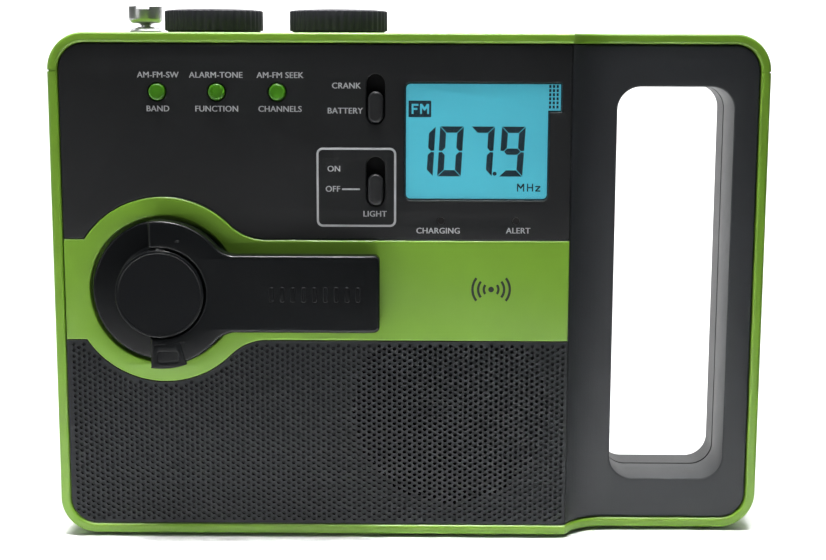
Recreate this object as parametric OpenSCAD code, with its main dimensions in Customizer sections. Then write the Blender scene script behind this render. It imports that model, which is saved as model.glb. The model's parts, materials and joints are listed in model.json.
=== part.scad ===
// Hand-cranked emergency radio with a carrying handle, a fold-out dynamo crank, a side lamp
// and a telescopic aerial. Millimetres, +Z up, the front faces -Y, +X is the handle side.
// The origin is under the middle of the whole object, on the surface that it stands on.
// Modules draw in the casing's own frame (y = 0 on the front rim, z = 0 under the casing)
// and place() moves them to the object's frame.

/* [Casing] */
// Width of the casing over the green frame
body_w = 215; // [213:0.5:217]
// Height of the casing without feet and knobs
body_h = 152.5; // [152:0.5:154]
// Depth of the casing left of the handle
body_d = 56; // [55:0.5:60]
// Outer corner radius of the green frame
corner_r = 11; // [10:0.5:14]
// Width of the green frame's rim
rim_w = 3; // [2.6:0.1:3.4]
// Gap between the frame and the parts set into it
seam = 0.3; // [0.2:0.05:0.4]
// How far the face plates sit behind the rim
face_inset = 1; // [0.8:0.1:1.2]
// Wall thickness of the cabinets and face plates
wall = 2.2; // [2:0.1:2.4]
// Thickness of the rubber feet
foot_h = 1; // [0.6:0.1:2]

/* [Handle] */
// Where the front starts to fall back to the handle, from the middle
handle_x = 47.5; // [46.5:0.5:48]
// How far the handle's front lies behind the casing's front
handle_recess = 8.5; // [8:0.5:10]
// Thickness of the handle, front to back
handle_t = 29; // [28:0.5:31]
// Length of the hollow curve at the front of the handle
front_blend = 13; // [12:0.5:13.5]
// Radius of the hollow curve behind the handle
rear_blend_r = 15; // [12:0.5:16]
// Left side of the hand opening, from the middle
opening_x = 61.8; // [61.8:0.1:63]
// Width of the hand opening
opening_w = 35.1; // [33:0.1:35.1]
// Height of the hand opening
opening_h = 121.2; // [100:0.1:121.2]
// Corner radius of the hand opening
opening_r = 7; // [5:0.5:9]
// Depth of the parting line between the two cabinets
parting_y = 26.5; // [26:0.1:27]

/* [Front face] */
// Crank axis, from the middle
hub_x = -74.4; // [-74.6:0.1:-74]
// Crank axis above the casing's underside
hub_z = 75.9; // [75.6:0.1:76.2]
// Half the height of the green band
band_half = 15.25; // [15:0.05:15.5]
// Outer radius of the green crank surround
ring_r = 28.1; // [27.8:0.1:28.4]
// Radius of the hollow corners between surround and band
band_fillet = 15.5; // [12:0.5:18]

/* [Crank] */
// Radius of the crank's round end
hub_r = 21.2; // [20.8:0.1:21.4]
// Radius of the raised cap
cap_r = 13.1; // [12:0.1:13.2]
// Width of the crank arm
arm_w = 23.2; // [22:0.1:23.4]
// Length of the arm from the crank axis
arm_reach = 65.1; // [63:0.1:65.3]
// Thickness of the arm
arm_t = 6.2; // [6:0.1:6.4]
// Gap between the arm and the front rim's plane
arm_gap = 1.3; // [1.2:0.1:1.5]
// Radius of the hinge pin
pin_r = 1.25; // [1:0.05:1.4]
// Radius of the finger cup under the arm's end
cup_r = 8.6; // [7:0.1:9]

/* [Dynamo gears] */
// Gear module
gear_m = 0.8; // [0.8:0.01:0.81]
// Teeth on the crank gear
crank_teeth = 60; // [60]
// Teeth on the idler's big wheel
wheel_teeth = 48; // [48]
// Teeth on the idler's pinion and on the rotor's pinion
pinion_teeth = 12; // [12]
// Play between meshing teeth
backlash = 0.3; // [0.2:0.02:0.4]

/* [Controls] */
// Radius of a push-button
button_r = 2.45; // [2.3:0.05:2.5]
// Travel of a push-button
button_travel = 0.6; // [0.4:0.1:0.6]
// Width of a slide switch's knob
slider_w = 4.5; // [4:0.1:4.6]
// Length of a slide switch's knob
slider_len = 9.3; // [8.6:0.1:9.4]
// Travel of a slide switch
slider_travel = 4.8; // [4:0.1:4.8]
// Radius of the volume and tuning knobs
knob_r = 15.15; // [14:0.05:15.2]
// Height of the knobs
knob_h = 6.5; // [6:0.1:8]
// Ribs round each knob
knob_ribs = 40; // [30:2:44]

/* [Speaker] */
// Radius of the loudspeaker
speaker_r = 33; // [31:0.5:33]
// Speaker axis from the middle
speaker_x = 12; // [11:0.5:13]
// Speaker axis above the casing's underside
speaker_z = 39.5; // [39.5:0.5:41]

/* [Antenna] */
// Antenna axis, from the middle
antenna_x = -86.5; // [-88:0.5:-86]
// Antenna axis behind the front rim
antenna_y = 47.5; // [47:0.1:48]
// Travel of each antenna section
antenna_travel = 120; // [80:5:125]

/* [Lamp] */
// Radius of the lamp lens in the left side
lamp_r = 14; // [12:0.5:14.5]
// Lamp axis above the casing's underside
lamp_z = 30; // [29:0.5:31]

/* [Hidden] */
$fn = 72;
EPS = 0.01;
CORNER_STEPS = 9;
TIP_STEPS = 5;

// Colours
green = [0.45, 0.65, 0.2];
black = [0.13, 0.13, 0.14];
graphite = [0.24, 0.25, 0.27];
steel = [0.75, 0.76, 0.78];
bright = [0.9, 0.9, 0.92];
copper = [0.8, 0.45, 0.2];
brass = [0.8, 0.65, 0.3];
board_green = [0.1, 0.4, 0.2];

// Crank heights along y, in front of the rim's plane
arm_back = -arm_gap;
arm_front = arm_back - arm_t;
hinge_y = (arm_front + arm_back) / 2;
cap_front = arm_front - 0.5;
hub_top = arm_back + 0.3;
hole_r = cap_r + 0.3;
arm_fillet = 8;
arm_tip_r = 1.7;
hub_well_r = hub_r + 1.1;
arm_r = hub_r + 0.6;

// The object's frame: the middle of its depth, from the cap to the rear of the frame
front_y = -(body_d + cap_front) / 2;

// Casing levels along y
band_y = 0.3;
deck_y = face_inset + wall;
deck_back = deck_y + wall;
well_wall = 1.7;
well_floor = deck_back - 1.2;
front_end = parting_y - 0.25;
rear_start = parting_y + 0.25;
rear_face = body_d - face_inset;
rear_inner = rear_face - wall;
handle_rear = handle_recess + handle_t - face_inset;

// Outline of the parts set into the frame
inset_w = body_w - 2 * (rim_w + seam);
inset_h = body_h - 2 * (rim_w + seam);
inset_r = corner_r - rim_w - seam;
face_right = handle_x - 0.2;
opening_cx = opening_x + opening_w / 2;

// Front blend: an arc that starts on the front and runs out flat on the handle
blend_r = (pow(front_blend, 2) + pow(handle_recess, 2)) / (2 * handle_recess);
blend_cx = handle_x + front_blend;
blend_cy = handle_recess - blend_r;

// Controls on the panel
button_z = 135.1;
button_x = [-75.2, -57.6, -39.7];
slider_x = -10.7;
source_z = 133.2;
light_z = 108.8;
slot_w = slider_w + 1;
slot_len = slider_len + slider_travel + 0.6;
led_x = [8.85, 31.25];
led_z = 97.1;
board_y = 9;
board_t = 1.6;
board_holes = [[-80, 133.5], [-28, 133.5], [42.5, 98.5]];

// Display
window_x = -2;
window_z = 103.4;
window_w = 42.6;
window_h = 34.6;
tab_w = 3.7;
tab_h = 8.4;

// Knobs
knob_x = [-61.7, -23];
knob_y = 28;
knob_z = body_h + 0.4;
shaft_r = 3;
bush_r = 3.5;

// Depth of the loudspeaker's steel basket
basket_d = 15;

// Dynamo levels along y, and places from the crank axis
plate_y = 12;
plate_t = 1.5;
gear_y = 16;
gear_t = 4;
wheel_y = 21.5;
wheel_t = 3;
rear_plate_y = 26;
pressure_angle = 25;
crank_dist = gear_m * (crank_teeth + pinion_teeth) / 2;
rotor_dist = gear_m * (wheel_teeth + pinion_teeth) / 2;
idler_at = [crank_dist * cos(30), crank_dist * sin(30)];
rotor_at = idler_at + [0, rotor_dist];
posts = [[-20, -20], [22, -19], [-22, 19], [6.5, 46], [43, 46]];
post_r = 2.5;
shaft_big = 4;
shaft_small = 2.5;
running = 0.05;
generator_r = 15;
generator_y = rear_plate_y + plate_t;
generator_len = 15.5;

// Screws that hold the cabinets together, [x, z]
screws = [[-97, 142], [43, 143], [80, 143.1], [-97, 10.5], [-29, 9.4], [80, 9.4]];
screw_boss_r = 3.6;
screw_r = 1.5;
screw_head_r = 2.7;
screw_head_y = 31;
screw_len = 14;

// Height of the cap on the antenna's tip
cap_h = 5.7;

// Battery bay at the rear
cell_r = 7.1;
cell_len = 49.2;
cell_x = -21.5;
cell_y = 45.4;
cell_z = [16.3, 31, 45.7];
bay_x0 = -24.6;
bay_x1 = 31.2;
bay_z0 = 8.6;
bay_z1 = 53.4;
bay_wall = 1.5;
door_lip = 2;
door_t = 1.6;
door_gap = 0.3;

// Lamp and sockets in the left side
side_x = -body_w / 2;
lamp_y = 28;
jack_y = 38;
earphone_z = 128;
charge_z = 112;
jack_nose_r = 3.9;
feet = [[-92, 10], [-92, 46], [36, 10], [36, 46], [92, 16], [92, 30]];

// ---------------------------------------------------------------- helpers

module place() translate([0, front_y, foot_h]) children();

// A drawing of the front view (x, z), made into a slab from depth y0 back to y1
module slab(y0, y1) translate([0, y1, 0]) rotate([90, 0, 0]) linear_extrude(y1 - y0) children();

// A cylinder along +Y whose near end is at depth y0
module rod_y(x, z, y0, y1, r) translate([x, y0, z]) rotate([-90, 0, 0]) cylinder(h = y1 - y0, r = r);

// A cone along +Y
module cone_y(x, z, y0, y1, r0, r1)
    translate([x, y0, z]) rotate([-90, 0, 0]) cylinder(h = y1 - y0, r1 = r0, r2 = r1);

// A cylinder along +X
module rod_x(y, z, x0, x1, r) translate([x0, y, z]) rotate([0, 90, 0]) cylinder(h = x1 - x0, r = r);

module box(lo, hi) translate(lo) cube(hi - lo);

module rounded_rect(w, h, r) {
    square([w - 2 * r, h], center = true);
    square([w, h - 2 * r], center = true);
    for (sx = [-1, 1], sz = [-1, 1])
        translate([sx * (w / 2 - r), sz * (h / 2 - r)]) circle(r);
}

// An upright slot with round ends
module stadium(w, len) {
    square([w, len - w], center = true);
    for (s = [-1, 1]) translate([0, s * (len - w) / 2]) circle(w / 2);
}

// The casing's front outline, drawn in by a margin
module outline(margin)
    translate([0, body_h / 2])
        rounded_rect(body_w - 2 * margin, body_h - 2 * margin, corner_r - margin);

// The casing seen from above (x, y), with every face moved inwards by t
module depth_profile(t) {
    right = body_w / 2 + 1;
    difference() {
        translate([-right, t]) square([2 * right, body_d - 2 * t]);
        translate([blend_cx, blend_cy]) circle(blend_r + t);
        translate([blend_cx, -1]) square([right, handle_recess + t + 1]);
        translate([handle_x + rear_blend_r, handle_recess + handle_t + rear_blend_r])
            circle(rear_blend_r + t);
        translate([handle_x + rear_blend_r, handle_recess + handle_t - t]) square([right, body_d]);
        translate([handle_x - t, handle_recess + handle_t + rear_blend_r]) square([right, body_d]);
    }
}

module solid_casing(margin, t) intersection() {
    slab(0, body_d) outline(margin);
    linear_extrude(body_h) depth_profile(t);
}

module hand_opening(grow)
    translate([opening_cx, body_h / 2])
        rounded_rect(opening_w + 2 * grow, opening_h + 2 * grow, opening_r + grow);

// The points of an arc about c
function arc(c, r, from, to, steps) = [for (i = [0:steps]) c + ray(r, from + (to - from) * i / steps)];

// A disc with a bar to the right, joined by hollow corners that stop just short of the disc;
// the bar's end has corners of radius tip
module keyhole(r, half, fillet, reach, tip) {
    fz = half + fillet;
    fx = sqrt(pow(r + fillet, 2) - pow(fz, 2));
    touch = atan2(fz, fx);
    near = (90 - touch) * (1 - 1 / CORNER_STEPS);
    circle(r);
    polygon(concat(
        [ray(r - 1, -touch)],
        arc([fx, -fz], fillet, 90 + near, 90, CORNER_STEPS),
        arc([reach - tip, tip - half], tip, -90, 0, TIP_STEPS),
        arc([reach - tip, half - tip], tip, 0, 90, TIP_STEPS),
        arc([fx, fz], fillet, 270, 270 - near, CORNER_STEPS),
        [ray(r - 1, touch)]));
}

module at_hub() translate([hub_x, hub_z]) children();

// The green band with its crank surround, grown by g
module band_outline(g) intersection() {
    union() {
        at_hub() keyhole(ring_r + g, band_half + g, band_fillet - g, body_w, 1);
        translate([-inset_w / 2, hub_z - band_half - g])
            square([hub_x + inset_w / 2, 2 * (band_half + g)]);
    }
    face_outline();
}

// Everything left of the handle that the face plates cover
module face_outline() intersection() {
    outline(rim_w + seam);
    translate([-body_w, 0]) square([body_w + face_right, body_h]);
}

module half_face(z0, z1) intersection() {
    face_outline();
    translate([-body_w, z0]) square([2 * body_w, z1 - z0]);
}

module window_outline(g) {
    translate([window_x - g, window_z - g]) square([window_w + 2 * g, window_h + 2 * g]);
    translate([window_x + window_w / 2, window_z + window_h - tab_h - g])
        square([window_w / 2 + tab_w + g, tab_h + 2 * g]);
}

module at_slots() for (z = [source_z, light_z]) translate([slider_x, z]) children();

// Angles in degrees; the involute of a circle
function inv(a) = tan(a) * 180 / PI - a;

// Half the angle that a tooth takes at radius r
function tooth_half(r, n) =
    let (rp = gear_m * n / 2, rb = rp * cos(pressure_angle))
    90 / n - backlash / 4 / rp * 180 / PI + inv(pressure_angle) - inv(acos(min(1, rb / r)));

function ray(r, a) = [r * cos(a), r * sin(a)];

// A spur gear's outline with a tooth on +x when phase = 0
function gear_outline(n, phase) =
    let (
        rp = gear_m * n / 2,
        rb = rp * cos(pressure_angle),
        root = rp - 1.2 * gear_m,
        tip = rp + 0.85 * gear_m,
        start = max(rb, root),
        mid = (max(start, rp) + tip) / 2,
        radii = [start, (start + rp) / 2, mid, tip],
        foot = rb > root ? [root] : []
    )
    [for (k = [0:n - 1]) let (a = phase + 360 * k / n) each [
        for (r = concat(foot, radii)) ray(r, a - tooth_half(max(r, start), n)),
        for (r = concat([tip, mid, (start + rp) / 2, start], foot))
            ray(r, a + tooth_half(max(r, start), n))
    ]];

module gear(n, phase, y0, y1) slab(y0, y1) polygon(gear_outline(n, phase));

// ---------------------------------------------------------------- casing

module perimeter_frame() color(green) place() difference() {
    intersection() {
        slab(0, body_d) difference() {
            outline(0);
            outline(rim_w);
        }
        linear_extrude(body_h) depth_profile(0);
    }
    for (x = knob_x) translate([x, knob_y, body_h - 5]) cylinder(h = 10, r = bush_r + 0.2);
    translate([antenna_x, antenna_y, body_h - 5]) cylinder(h = 10, r = 3.4);
    rod_x(lamp_y, lamp_z, side_x - 1, side_x + 5, lamp_r + 0.3);
    for (z = [earphone_z, charge_z]) rod_x(jack_y, z, side_x - 1, side_x + 5, jack_nose_r + 0.1);
}

// Both cabinets before they are parted: a shell with a tube round the hand opening
module cabinet_shell() difference() {
    union() {
        difference() {
            solid_casing(rim_w + seam, face_inset);
            solid_casing(rim_w + seam + wall, face_inset + wall);
        }
        slab(handle_recess + face_inset + wall / 2, handle_rear - wall / 2) hand_opening(wall);
    }
    slab(0, body_d) hand_opening(0);
    rod_x(lamp_y, lamp_z, side_x, side_x + 8, lamp_r - 0.6);
    for (x = knob_x) translate([x, knob_y, body_h - 8]) cylinder(h = 8, r = bush_r + 0.1);
}

module front_cabinet() color(graphite) place() difference() {
    union() {
        difference() {
            intersection() {
                cabinet_shell();
                box([-body_w, 0, 0], [body_w, front_end, body_h]);
            }
            box([-body_w, -1, -1], [face_right, deck_y, body_h + 1]);
        }
        slab(deck_y, deck_back) face_outline();
        for (s = screws)
            rod_y(s[0], s[1], s[0] > handle_x ? handle_recess + wall : deck_y, parting_y, screw_boss_r);
    }
    for (s = screws) rod_y(s[0], s[1], screw_head_y - screw_len, body_d, screw_r);
    rod_y(hub_x, hub_z, deck_y - 1, deck_back + 1, hub_well_r + well_wall + 0.2);
    deck_cut() window_outline(0.4);
    deck_cut() at_slots() square([3, slider_travel + 4], center = true);
    for (x = button_x) rod_y(x, button_z, 0, deck_back + 1, 3.7);
    for (x = led_x) rod_y(x, led_z, 0, deck_back + 1, 1.7);
    rod_y(speaker_x, speaker_z, 0, deck_back + 1, speaker_r - 2.5);
}

module deck_cut() slab(deck_y - 1, deck_back + 1) children();

module rear_cabinet() color(black) place() difference() {
    union() {
        intersection() {
            cabinet_shell();
            box([-body_w, rear_start, 0], [body_w, body_d, body_h]);
        }
        for (s = screws) {
            boss_end = (s[0] > handle_x ? handle_rear : rear_face) - 0.5;
            rod_y(s[0], s[1], parting_y, boss_end, screw_boss_r + 0.6);
        }
        box([bay_x0 - bay_wall, cell_y - cell_r - 0.4 - bay_wall, bay_z0 - bay_wall],
            [bay_x1 + bay_wall, rear_inner + EPS, bay_z1 + bay_wall]);
    }
    for (s = screws) {
        rod_y(s[0], s[1], parting_y - 1, body_d, screw_r);
        rod_y(s[0], s[1], screw_head_y, body_d, screw_head_r + 0.2);
    }
    box([bay_x0, cell_y - cell_r - 0.4, bay_z0], [bay_x1, body_d, bay_z1]);
    box([bay_x0 - door_lip, rear_face - door_t - door_gap, bay_z0 - door_lip],
        [bay_x1 + door_lip, body_d, bay_z1 + door_lip]);
    translate([antenna_x, antenna_y, body_h - 8]) cylinder(h = 8, r = 3.4);
    for (z = [earphone_z, charge_z]) rod_x(jack_y, z, side_x, side_x + 8, jack_nose_r + 0.1);
}

module control_panel() color(black) place() difference() {
    slab(face_inset, deck_y) difference() {
        half_face(hub_z, body_h);
        band_outline(0.2);
        window_outline(0.1);
        at_slots() stadium(slot_w, slot_len);
    }
    for (x = button_x) rod_y(x, button_z, 0, deck_y + 1, button_r + 0.3);
    for (x = led_x) rod_y(x, led_z, 0, deck_y + 1, 1.1);
}

module crank_band() color(green) place() difference() {
    union() {
        slab(band_y, deck_y) band_outline(0);
        rod_y(hub_x, hub_z, deck_y - 0.5, deck_back, hub_well_r + well_wall);
    }
    rod_y(hub_x, hub_z, band_y - 1, well_floor, hub_well_r);
    rod_y(hub_x, hub_z, well_floor - 1, deck_back + 1, shaft_big + 0.6);
}

module speaker_grille() color(graphite) place() difference() {
    union() {
        slab(face_inset, face_inset + 1.2) grille_outline();
        slab(face_inset + 1.2, deck_y) difference() {
            grille_outline();
            intersection() {
                translate([speaker_x, speaker_z]) circle(speaker_r - 2.5);
                translate([-inset_w / 2 + 2, rim_w + seam + 2]) square([inset_w, hub_z - band_half - 8]);
            }
        }
    }
    pitch = 4.4;
    for (i = [-6:6], j = [-7:7]) {
        x = i * pitch * sqrt(3) / 2;
        z = (j + (i % 2 == 0 ? 0 : 0.5)) * pitch;
        inside = speaker_z + z > rim_w + seam + 4 && speaker_z + z < hub_z - band_half - 3.6;
        if (inside && norm([x, z]) < speaker_r - 4.5)
            rod_y(speaker_x + x, speaker_z + z, 0, deck_y + 1, 1.3);
    }
}

module grille_outline() difference() {
    half_face(0, hub_z);
    band_outline(0.2);
}

module battery_door() color(black) place() {
    z0 = bay_z0 - door_lip + door_gap + door_t / 2;
    x0 = bay_x0 - door_lip + door_gap;
    x1 = bay_x1 + door_lip - door_gap;
    difference() {
        union() {
            box([x0, rear_face - door_t, z0], [x1, rear_face, bay_z1 + door_lip - door_gap]);
            rod_x(rear_face - door_t / 2, z0, x0, x1, door_t / 2);
        }
        for (i = [0:4])
            box([-4, rear_face - 0.6, bay_z1 - 9 + i * 1.6], [10, body_d, bay_z1 - 8.2 + i * 1.6]);
    }
}

module cabinet_screws() color(steel) place() for (s = screws) difference() {
    union() {
        rod_y(s[0], s[1], screw_head_y, screw_head_y + 2, screw_head_r);
        rod_y(s[0], s[1], screw_head_y - screw_len, screw_head_y, screw_r);
    }
    for (a = [0, 90]) translate([s[0], 0, s[1]]) rotate([0, a, 0])
        box([-0.4, screw_head_y + 1, -1.7], [0.4, screw_head_y + 3, 1.7]);
}

module rubber_feet() color(black) place()
    for (f = feet) translate([f[0], f[1], -foot_h]) cylinder(h = foot_h, r = 5);

// ---------------------------------------------------------------- display and controls

module display_window() color([0.6, 0.85, 0.95, 0.5]) place()
    slab(face_inset + 0.2, face_inset + 1.1) window_outline(0);

module lcd_panel() color([0.45, 0.75, 0.85]) place()
    slab(face_inset + 1.2, face_inset + 3.2) window_outline(-0.1);

module lcd_backlight() color([0.85, 0.92, 0.95]) place()
    slab(face_inset + 3.3, face_inset + 6.3) translate([window_x + 0.5, window_z + 0.5])
        square([window_w - 1, window_h - 1]);

module control_board() color(board_green) place() difference() {
    slab(board_y, board_y + board_t) polygon([
        [-84, 128.5], [-22, 128.5], [-22, 94], [46, 94], [46, 138.5], [-84, 138.5]]);
    for (p = board_holes) rod_y(p[0], p[1], board_y - 1, board_y + 3, 1.2);
}

module tact_switches() color(steel) place() for (x = button_x) {
    box([x - 3, 6.2, button_z - 3], [x + 3, board_y, button_z + 3]);
    rod_y(x, button_z, deck_back + 0.35, 6.2 + EPS, 1.7);
}

module slide_switch_bodies() color(steel) place() for (z = [source_z, light_z]) difference() {
    box([slider_x - 4, deck_back + 0.2, z - 8.2], [slider_x + 4, board_y, z + 8.2]);
    box([slider_x - 1.4, deck_back - 1, z - slider_travel / 2 - 2],
        [slider_x + 1.4, board_y - 0.8, z + slider_travel / 2 + 2]);
}

module indicator_leds() color([0.5, 0.1, 0.1]) place() for (x = led_x) {
    rod_y(x, led_z, face_inset + 0.1, deck_y + EPS, 1);
    rod_y(x, led_z, deck_y, board_y, 1.5);
}

module push_button(x) color([0.3, 0.55, 0.1]) place() {
    rod_y(x, button_z, face_inset - 0.9, deck_back - 0.35, button_r);
    rod_y(x, button_z, deck_y + 0.2, deck_y + 1, 3.3);
}

module band_button() push_button(button_x[0]);

module weather_button() push_button(button_x[1]);

module scan_button() push_button(button_x[2]);

// A slide switch's knob at the lower end of its slot
module slider(slot_z) color(black) place() {
    z = slot_z - slider_travel / 2;
    translate([slider_x, 0, z]) slab(-0.4, deck_y - 0.3) stadium(slider_w, slider_len);
    box([slider_x - 1, deck_y - 0.4, z - 1.5], [slider_x + 1, board_y - 1.4, z + 1.5]);
}

module source_slider() slider(source_z);

module light_slider() slider(light_z);

module pot(i) color(steel) place() difference() {
    union() {
        translate([knob_x[i], knob_y, 140]) cylinder(h = 6.7, r = 8);
        translate([knob_x[i], knob_y, 146]) cylinder(h = body_h - 146, r = bush_r);
    }
    translate([knob_x[i], knob_y, 141]) cylinder(h = 20, r = shaft_r + running);
}

module volume_pot() pot(0);

module tuning_encoder() pot(1);

module knob_shaft(i) color(bright) place()
    translate([knob_x[i], knob_y, 141.2]) cylinder(h = knob_z + knob_h - 2 - 141.2, r = shaft_r);

module volume_shaft() knob_shaft(0);

module tuning_shaft() knob_shaft(1);

module ribbed_knob(i) color(black) place() translate([knob_x[i], knob_y, knob_z]) difference() {
    cylinder(h = knob_h, r = knob_r);
    for (a = [0:360 / knob_ribs:359])
        rotate(a) translate([knob_r + 0.25, 0, -1]) cylinder(h = knob_h, r = 0.55, $fn = 16);
    difference() {
        translate([0, 0, -1]) cylinder(h = knob_h - 1.4, r = knob_r - 2.2);
        translate([0, 0, -2]) cylinder(h = knob_h, r = 5);
    }
    translate([0, 0, -1]) cylinder(h = knob_h - 1, r = shaft_r);
    translate([0, knob_r * -0.72, knob_h - 0.5]) cylinder(h = 1, r = 1);
}

module volume_knob() ribbed_knob(0);

module tuning_knob() ribbed_knob(1);

// ---------------------------------------------------------------- speaker and boards

module around_speaker() place()
    translate([speaker_x, deck_back, speaker_z]) rotate([-90, 0, 0]) rotate_extrude() children();

module speaker_frame() color(steel) around_speaker() polygon([
    [speaker_r - 3.5, 0], [speaker_r, 0], [speaker_r, 1.2], [speaker_r - 2, 1.2],
    [17, basket_d - 1.4], [17, basket_d], [8, basket_d], [8, basket_d - 1.6], [15.6, basket_d - 1.6],
    [speaker_r - 3.5, 1.6]]);

module speaker_cone() color([0.12, 0.12, 0.12]) around_speaker() polygon([
    [0, 7.6], [5, 8.2], [9, 10.4], [speaker_r - 6, 1.6], [speaker_r - 3.8, 0.6], [speaker_r - 3.8, 1.3],
    [speaker_r - 6, 2.5], [9, 11.6], [5, 9.4], [0, 8.8]]);

module speaker_magnet() color(graphite) around_speaker() translate([0, basket_d]) square([15.5, 8.5]);

module main_board() color(board_green) place() difference() {
    slab(33, 33 + board_t) translate([-16, 62]) square([60, 74]);
    for (x = [-12, 40], z = [66, 132]) rod_y(x, z, 30, 40, 1.6);
}

module ferrite_rod() color([0.2, 0.2, 0.2]) place() rod_x(46, 141, -68, 22, 4.5);

module ferrite_coil() color(copper) place() difference() {
    rod_x(46, 141, -60, -24, 5.2);
    rod_x(46, 141, -61, -23, 4.5);
}

module rechargeable_pack() color([0.2, 0.35, 0.7]) place() {
    for (i = [0:2]) rod_x(43, 64 + i * 10.4, -66, -22, 5.2);
    box([-66, 41, 64], [-22, 45, 84.8]);
}

module aa_cells() color(brass) place() for (z = cell_z) {
    rod_x(cell_y, z, cell_x, cell_x + cell_len, cell_r);
    rod_x(cell_y, z, cell_x + cell_len - EPS, cell_x + cell_len + 1.3, 2.7);
}

module battery_contacts() color(bright) place() for (z = cell_z) {
    box([bay_x1 - 0.5, cell_y - 4, z - 5], [bay_x1, cell_y + 5, z + 5]);
    box([bay_x0, cell_y - 4, z - 5], [bay_x0 + 0.5, cell_y + 5, z + 5]);
    rod_x(cell_y, z, bay_x0 + 0.4, cell_x, 3);
}

// ---------------------------------------------------------------- dynamo

module plate_outline() hull() for (p = posts) at_hub() translate(p) circle(5, $fn = 32);

module at_rotor(p) translate([hub_x + p[0], 0, hub_z + p[1]]) children();

module gearbox_plates() color(steel) place() difference() {
    union() {
        slab(plate_y, plate_y + plate_t) plate_outline();
        slab(rear_plate_y, rear_plate_y + plate_t) plate_outline();
    }
    rod_y(hub_x, hub_z, plate_y - 1, plate_y + 3, shaft_big + 2 + running);
    rod_y(hub_x, hub_z, rear_plate_y - 1, rear_plate_y + 3, shaft_small + running);
    at_rotor(idler_at) rod_y(0, 0, plate_y - 1, rear_plate_y + 3, 1.5);
    at_rotor(rotor_at) rod_y(0, 0, rear_plate_y - 1, rear_plate_y + 3, 3);
}

module gearbox_posts() color(brass) place() for (p = posts) {
    rod_y(hub_x + p[0], hub_z + p[1], deck_back, plate_y, post_r);
    rod_y(hub_x + p[0], hub_z + p[1], plate_y + plate_t, rear_plate_y, post_r);
}

module crank_bushing() color(brass) place() difference() {
    union() {
        rod_y(hub_x, hub_z, plate_y - 1.5, plate_y + plate_t + 1, shaft_big + 2);
        rod_y(hub_x, hub_z, plate_y - 2.5, plate_y, shaft_big + 4);
    }
    rod_y(hub_x, hub_z, plate_y - 5, plate_y + 5, shaft_big + running);
}

module crank_gear() color([0.9, 0.88, 0.8]) place() difference() {
    translate([hub_x, 0, hub_z]) gear(crank_teeth, 0, gear_y, gear_y + gear_t);
    rod_y(hub_x, hub_z, gear_y - 1, gear_y + gear_t + 1, shaft_big);
    for (a = [0:60:300])
        translate([hub_x, 0, hub_z]) rotate([0, a, 0]) rod_y(14, 0, gear_y - 1, gear_y + gear_t + 1, 4);
}

module idler_pin() color(steel) place() at_rotor(idler_at) rod_y(0, 0, plate_y, rear_plate_y + plate_t, 1.5);

module idler_gear() color([0.9, 0.88, 0.8]) place() at_rotor(idler_at) difference() {
    union() {
        gear(pinion_teeth, 15, gear_y - 0.5, wheel_y);
        gear(wheel_teeth, 0, wheel_y, wheel_y + wheel_t);
    }
    rod_y(0, 0, gear_y - 2, wheel_y + wheel_t + 1, 1.5 + running);
}

module generator_housing() color(steel) place() at_rotor(rotor_at) difference() {
    rod_y(0, 0, generator_y, generator_y + generator_len, generator_r);
    rod_y(0, 0, generator_y + 1.2, generator_y + generator_len - 1.2, generator_r - 1);
    rod_y(0, 0, generator_y - 1, generator_y + generator_len + 1, 1 + running);
}

module generator_coil() color(copper) place() at_rotor(rotor_at) difference() {
    rod_y(0, 0, generator_y + 2.5, generator_y + generator_len - 2.5, generator_r - 1.2);
    rod_y(0, 0, generator_y, generator_y + generator_len, 7.8);
}

module generator_rotor() color(graphite) place() at_rotor(rotor_at) {
    rod_y(0, 0, wheel_y - 0.3, generator_y + generator_len + 1, 1);
    rod_y(0, 0, generator_y + 3, generator_y + generator_len - 3, 7);
    gear(pinion_teeth, 15, wheel_y - 0.2, wheel_y + wheel_t + 0.2);
}

module crank_hub() color(black) place() difference() {
    union() {
        rod_y(hub_x, hub_z, hub_top, deck_back - 1.9, hub_r);
        rod_y(hub_x, hub_z, arm_front + 0.8, hub_top + EPS, cap_r);
        rod_y(hub_x, hub_z, 0, gear_y + gear_t, shaft_big);
        rod_y(hub_x, hub_z, gear_y, rear_plate_y + plate_t, shaft_small);
    }
    translate([hub_x, hinge_y, hub_z - 30]) cylinder(h = 60, r = pin_r + 0.01);
}

module hub_cap() color(black) place() rod_y(hub_x, hub_z, cap_front, arm_front + 0.8, cap_r);

module hinge_pin() color(steel) place()
    translate([hub_x, hinge_y, hub_z - hub_r + 1.2]) cylinder(h = 2 * hub_r - 2.4, r = pin_r);

module crank_arm() color(black) place() difference() {
    intersection() {
        slab(arm_front, arm_back) difference() {
            arm_outline();
            at_hub() circle(hole_r);
        }
        // The fork's ends are round about the hinge pin, so that they can turn over the hub
        union() {
            box([hub_x, -30, 0], [body_w, 30, body_h]);
            translate([hub_x, hinge_y, 0]) cylinder(h = body_h, r = arm_t / 2);
        }
    }
    // A hollow sphere about the hinge's middle lets the fork swing past the cap
    translate([hub_x, hinge_y, hub_z]) sphere(r = norm([cap_r, cap_front - hinge_y]) + 0.12);
    translate([hub_x, hinge_y, hub_z - hub_r - 5]) cylinder(h = 2 * hub_r + 10, r = pin_r + running);
    rod_y(cup_x(), hub_z, arm_back - 4.2, 0, cup_r + 0.3);
    rod_y(cup_x(), hub_z, arm_front + 0.8, 0, 1.5);
}

function cup_x() = hub_x + arm_reach - cup_r - 3.4;

module arm_outline() at_hub() keyhole(arm_r, arm_w / 2, arm_fillet, arm_reach, arm_tip_r);

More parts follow.
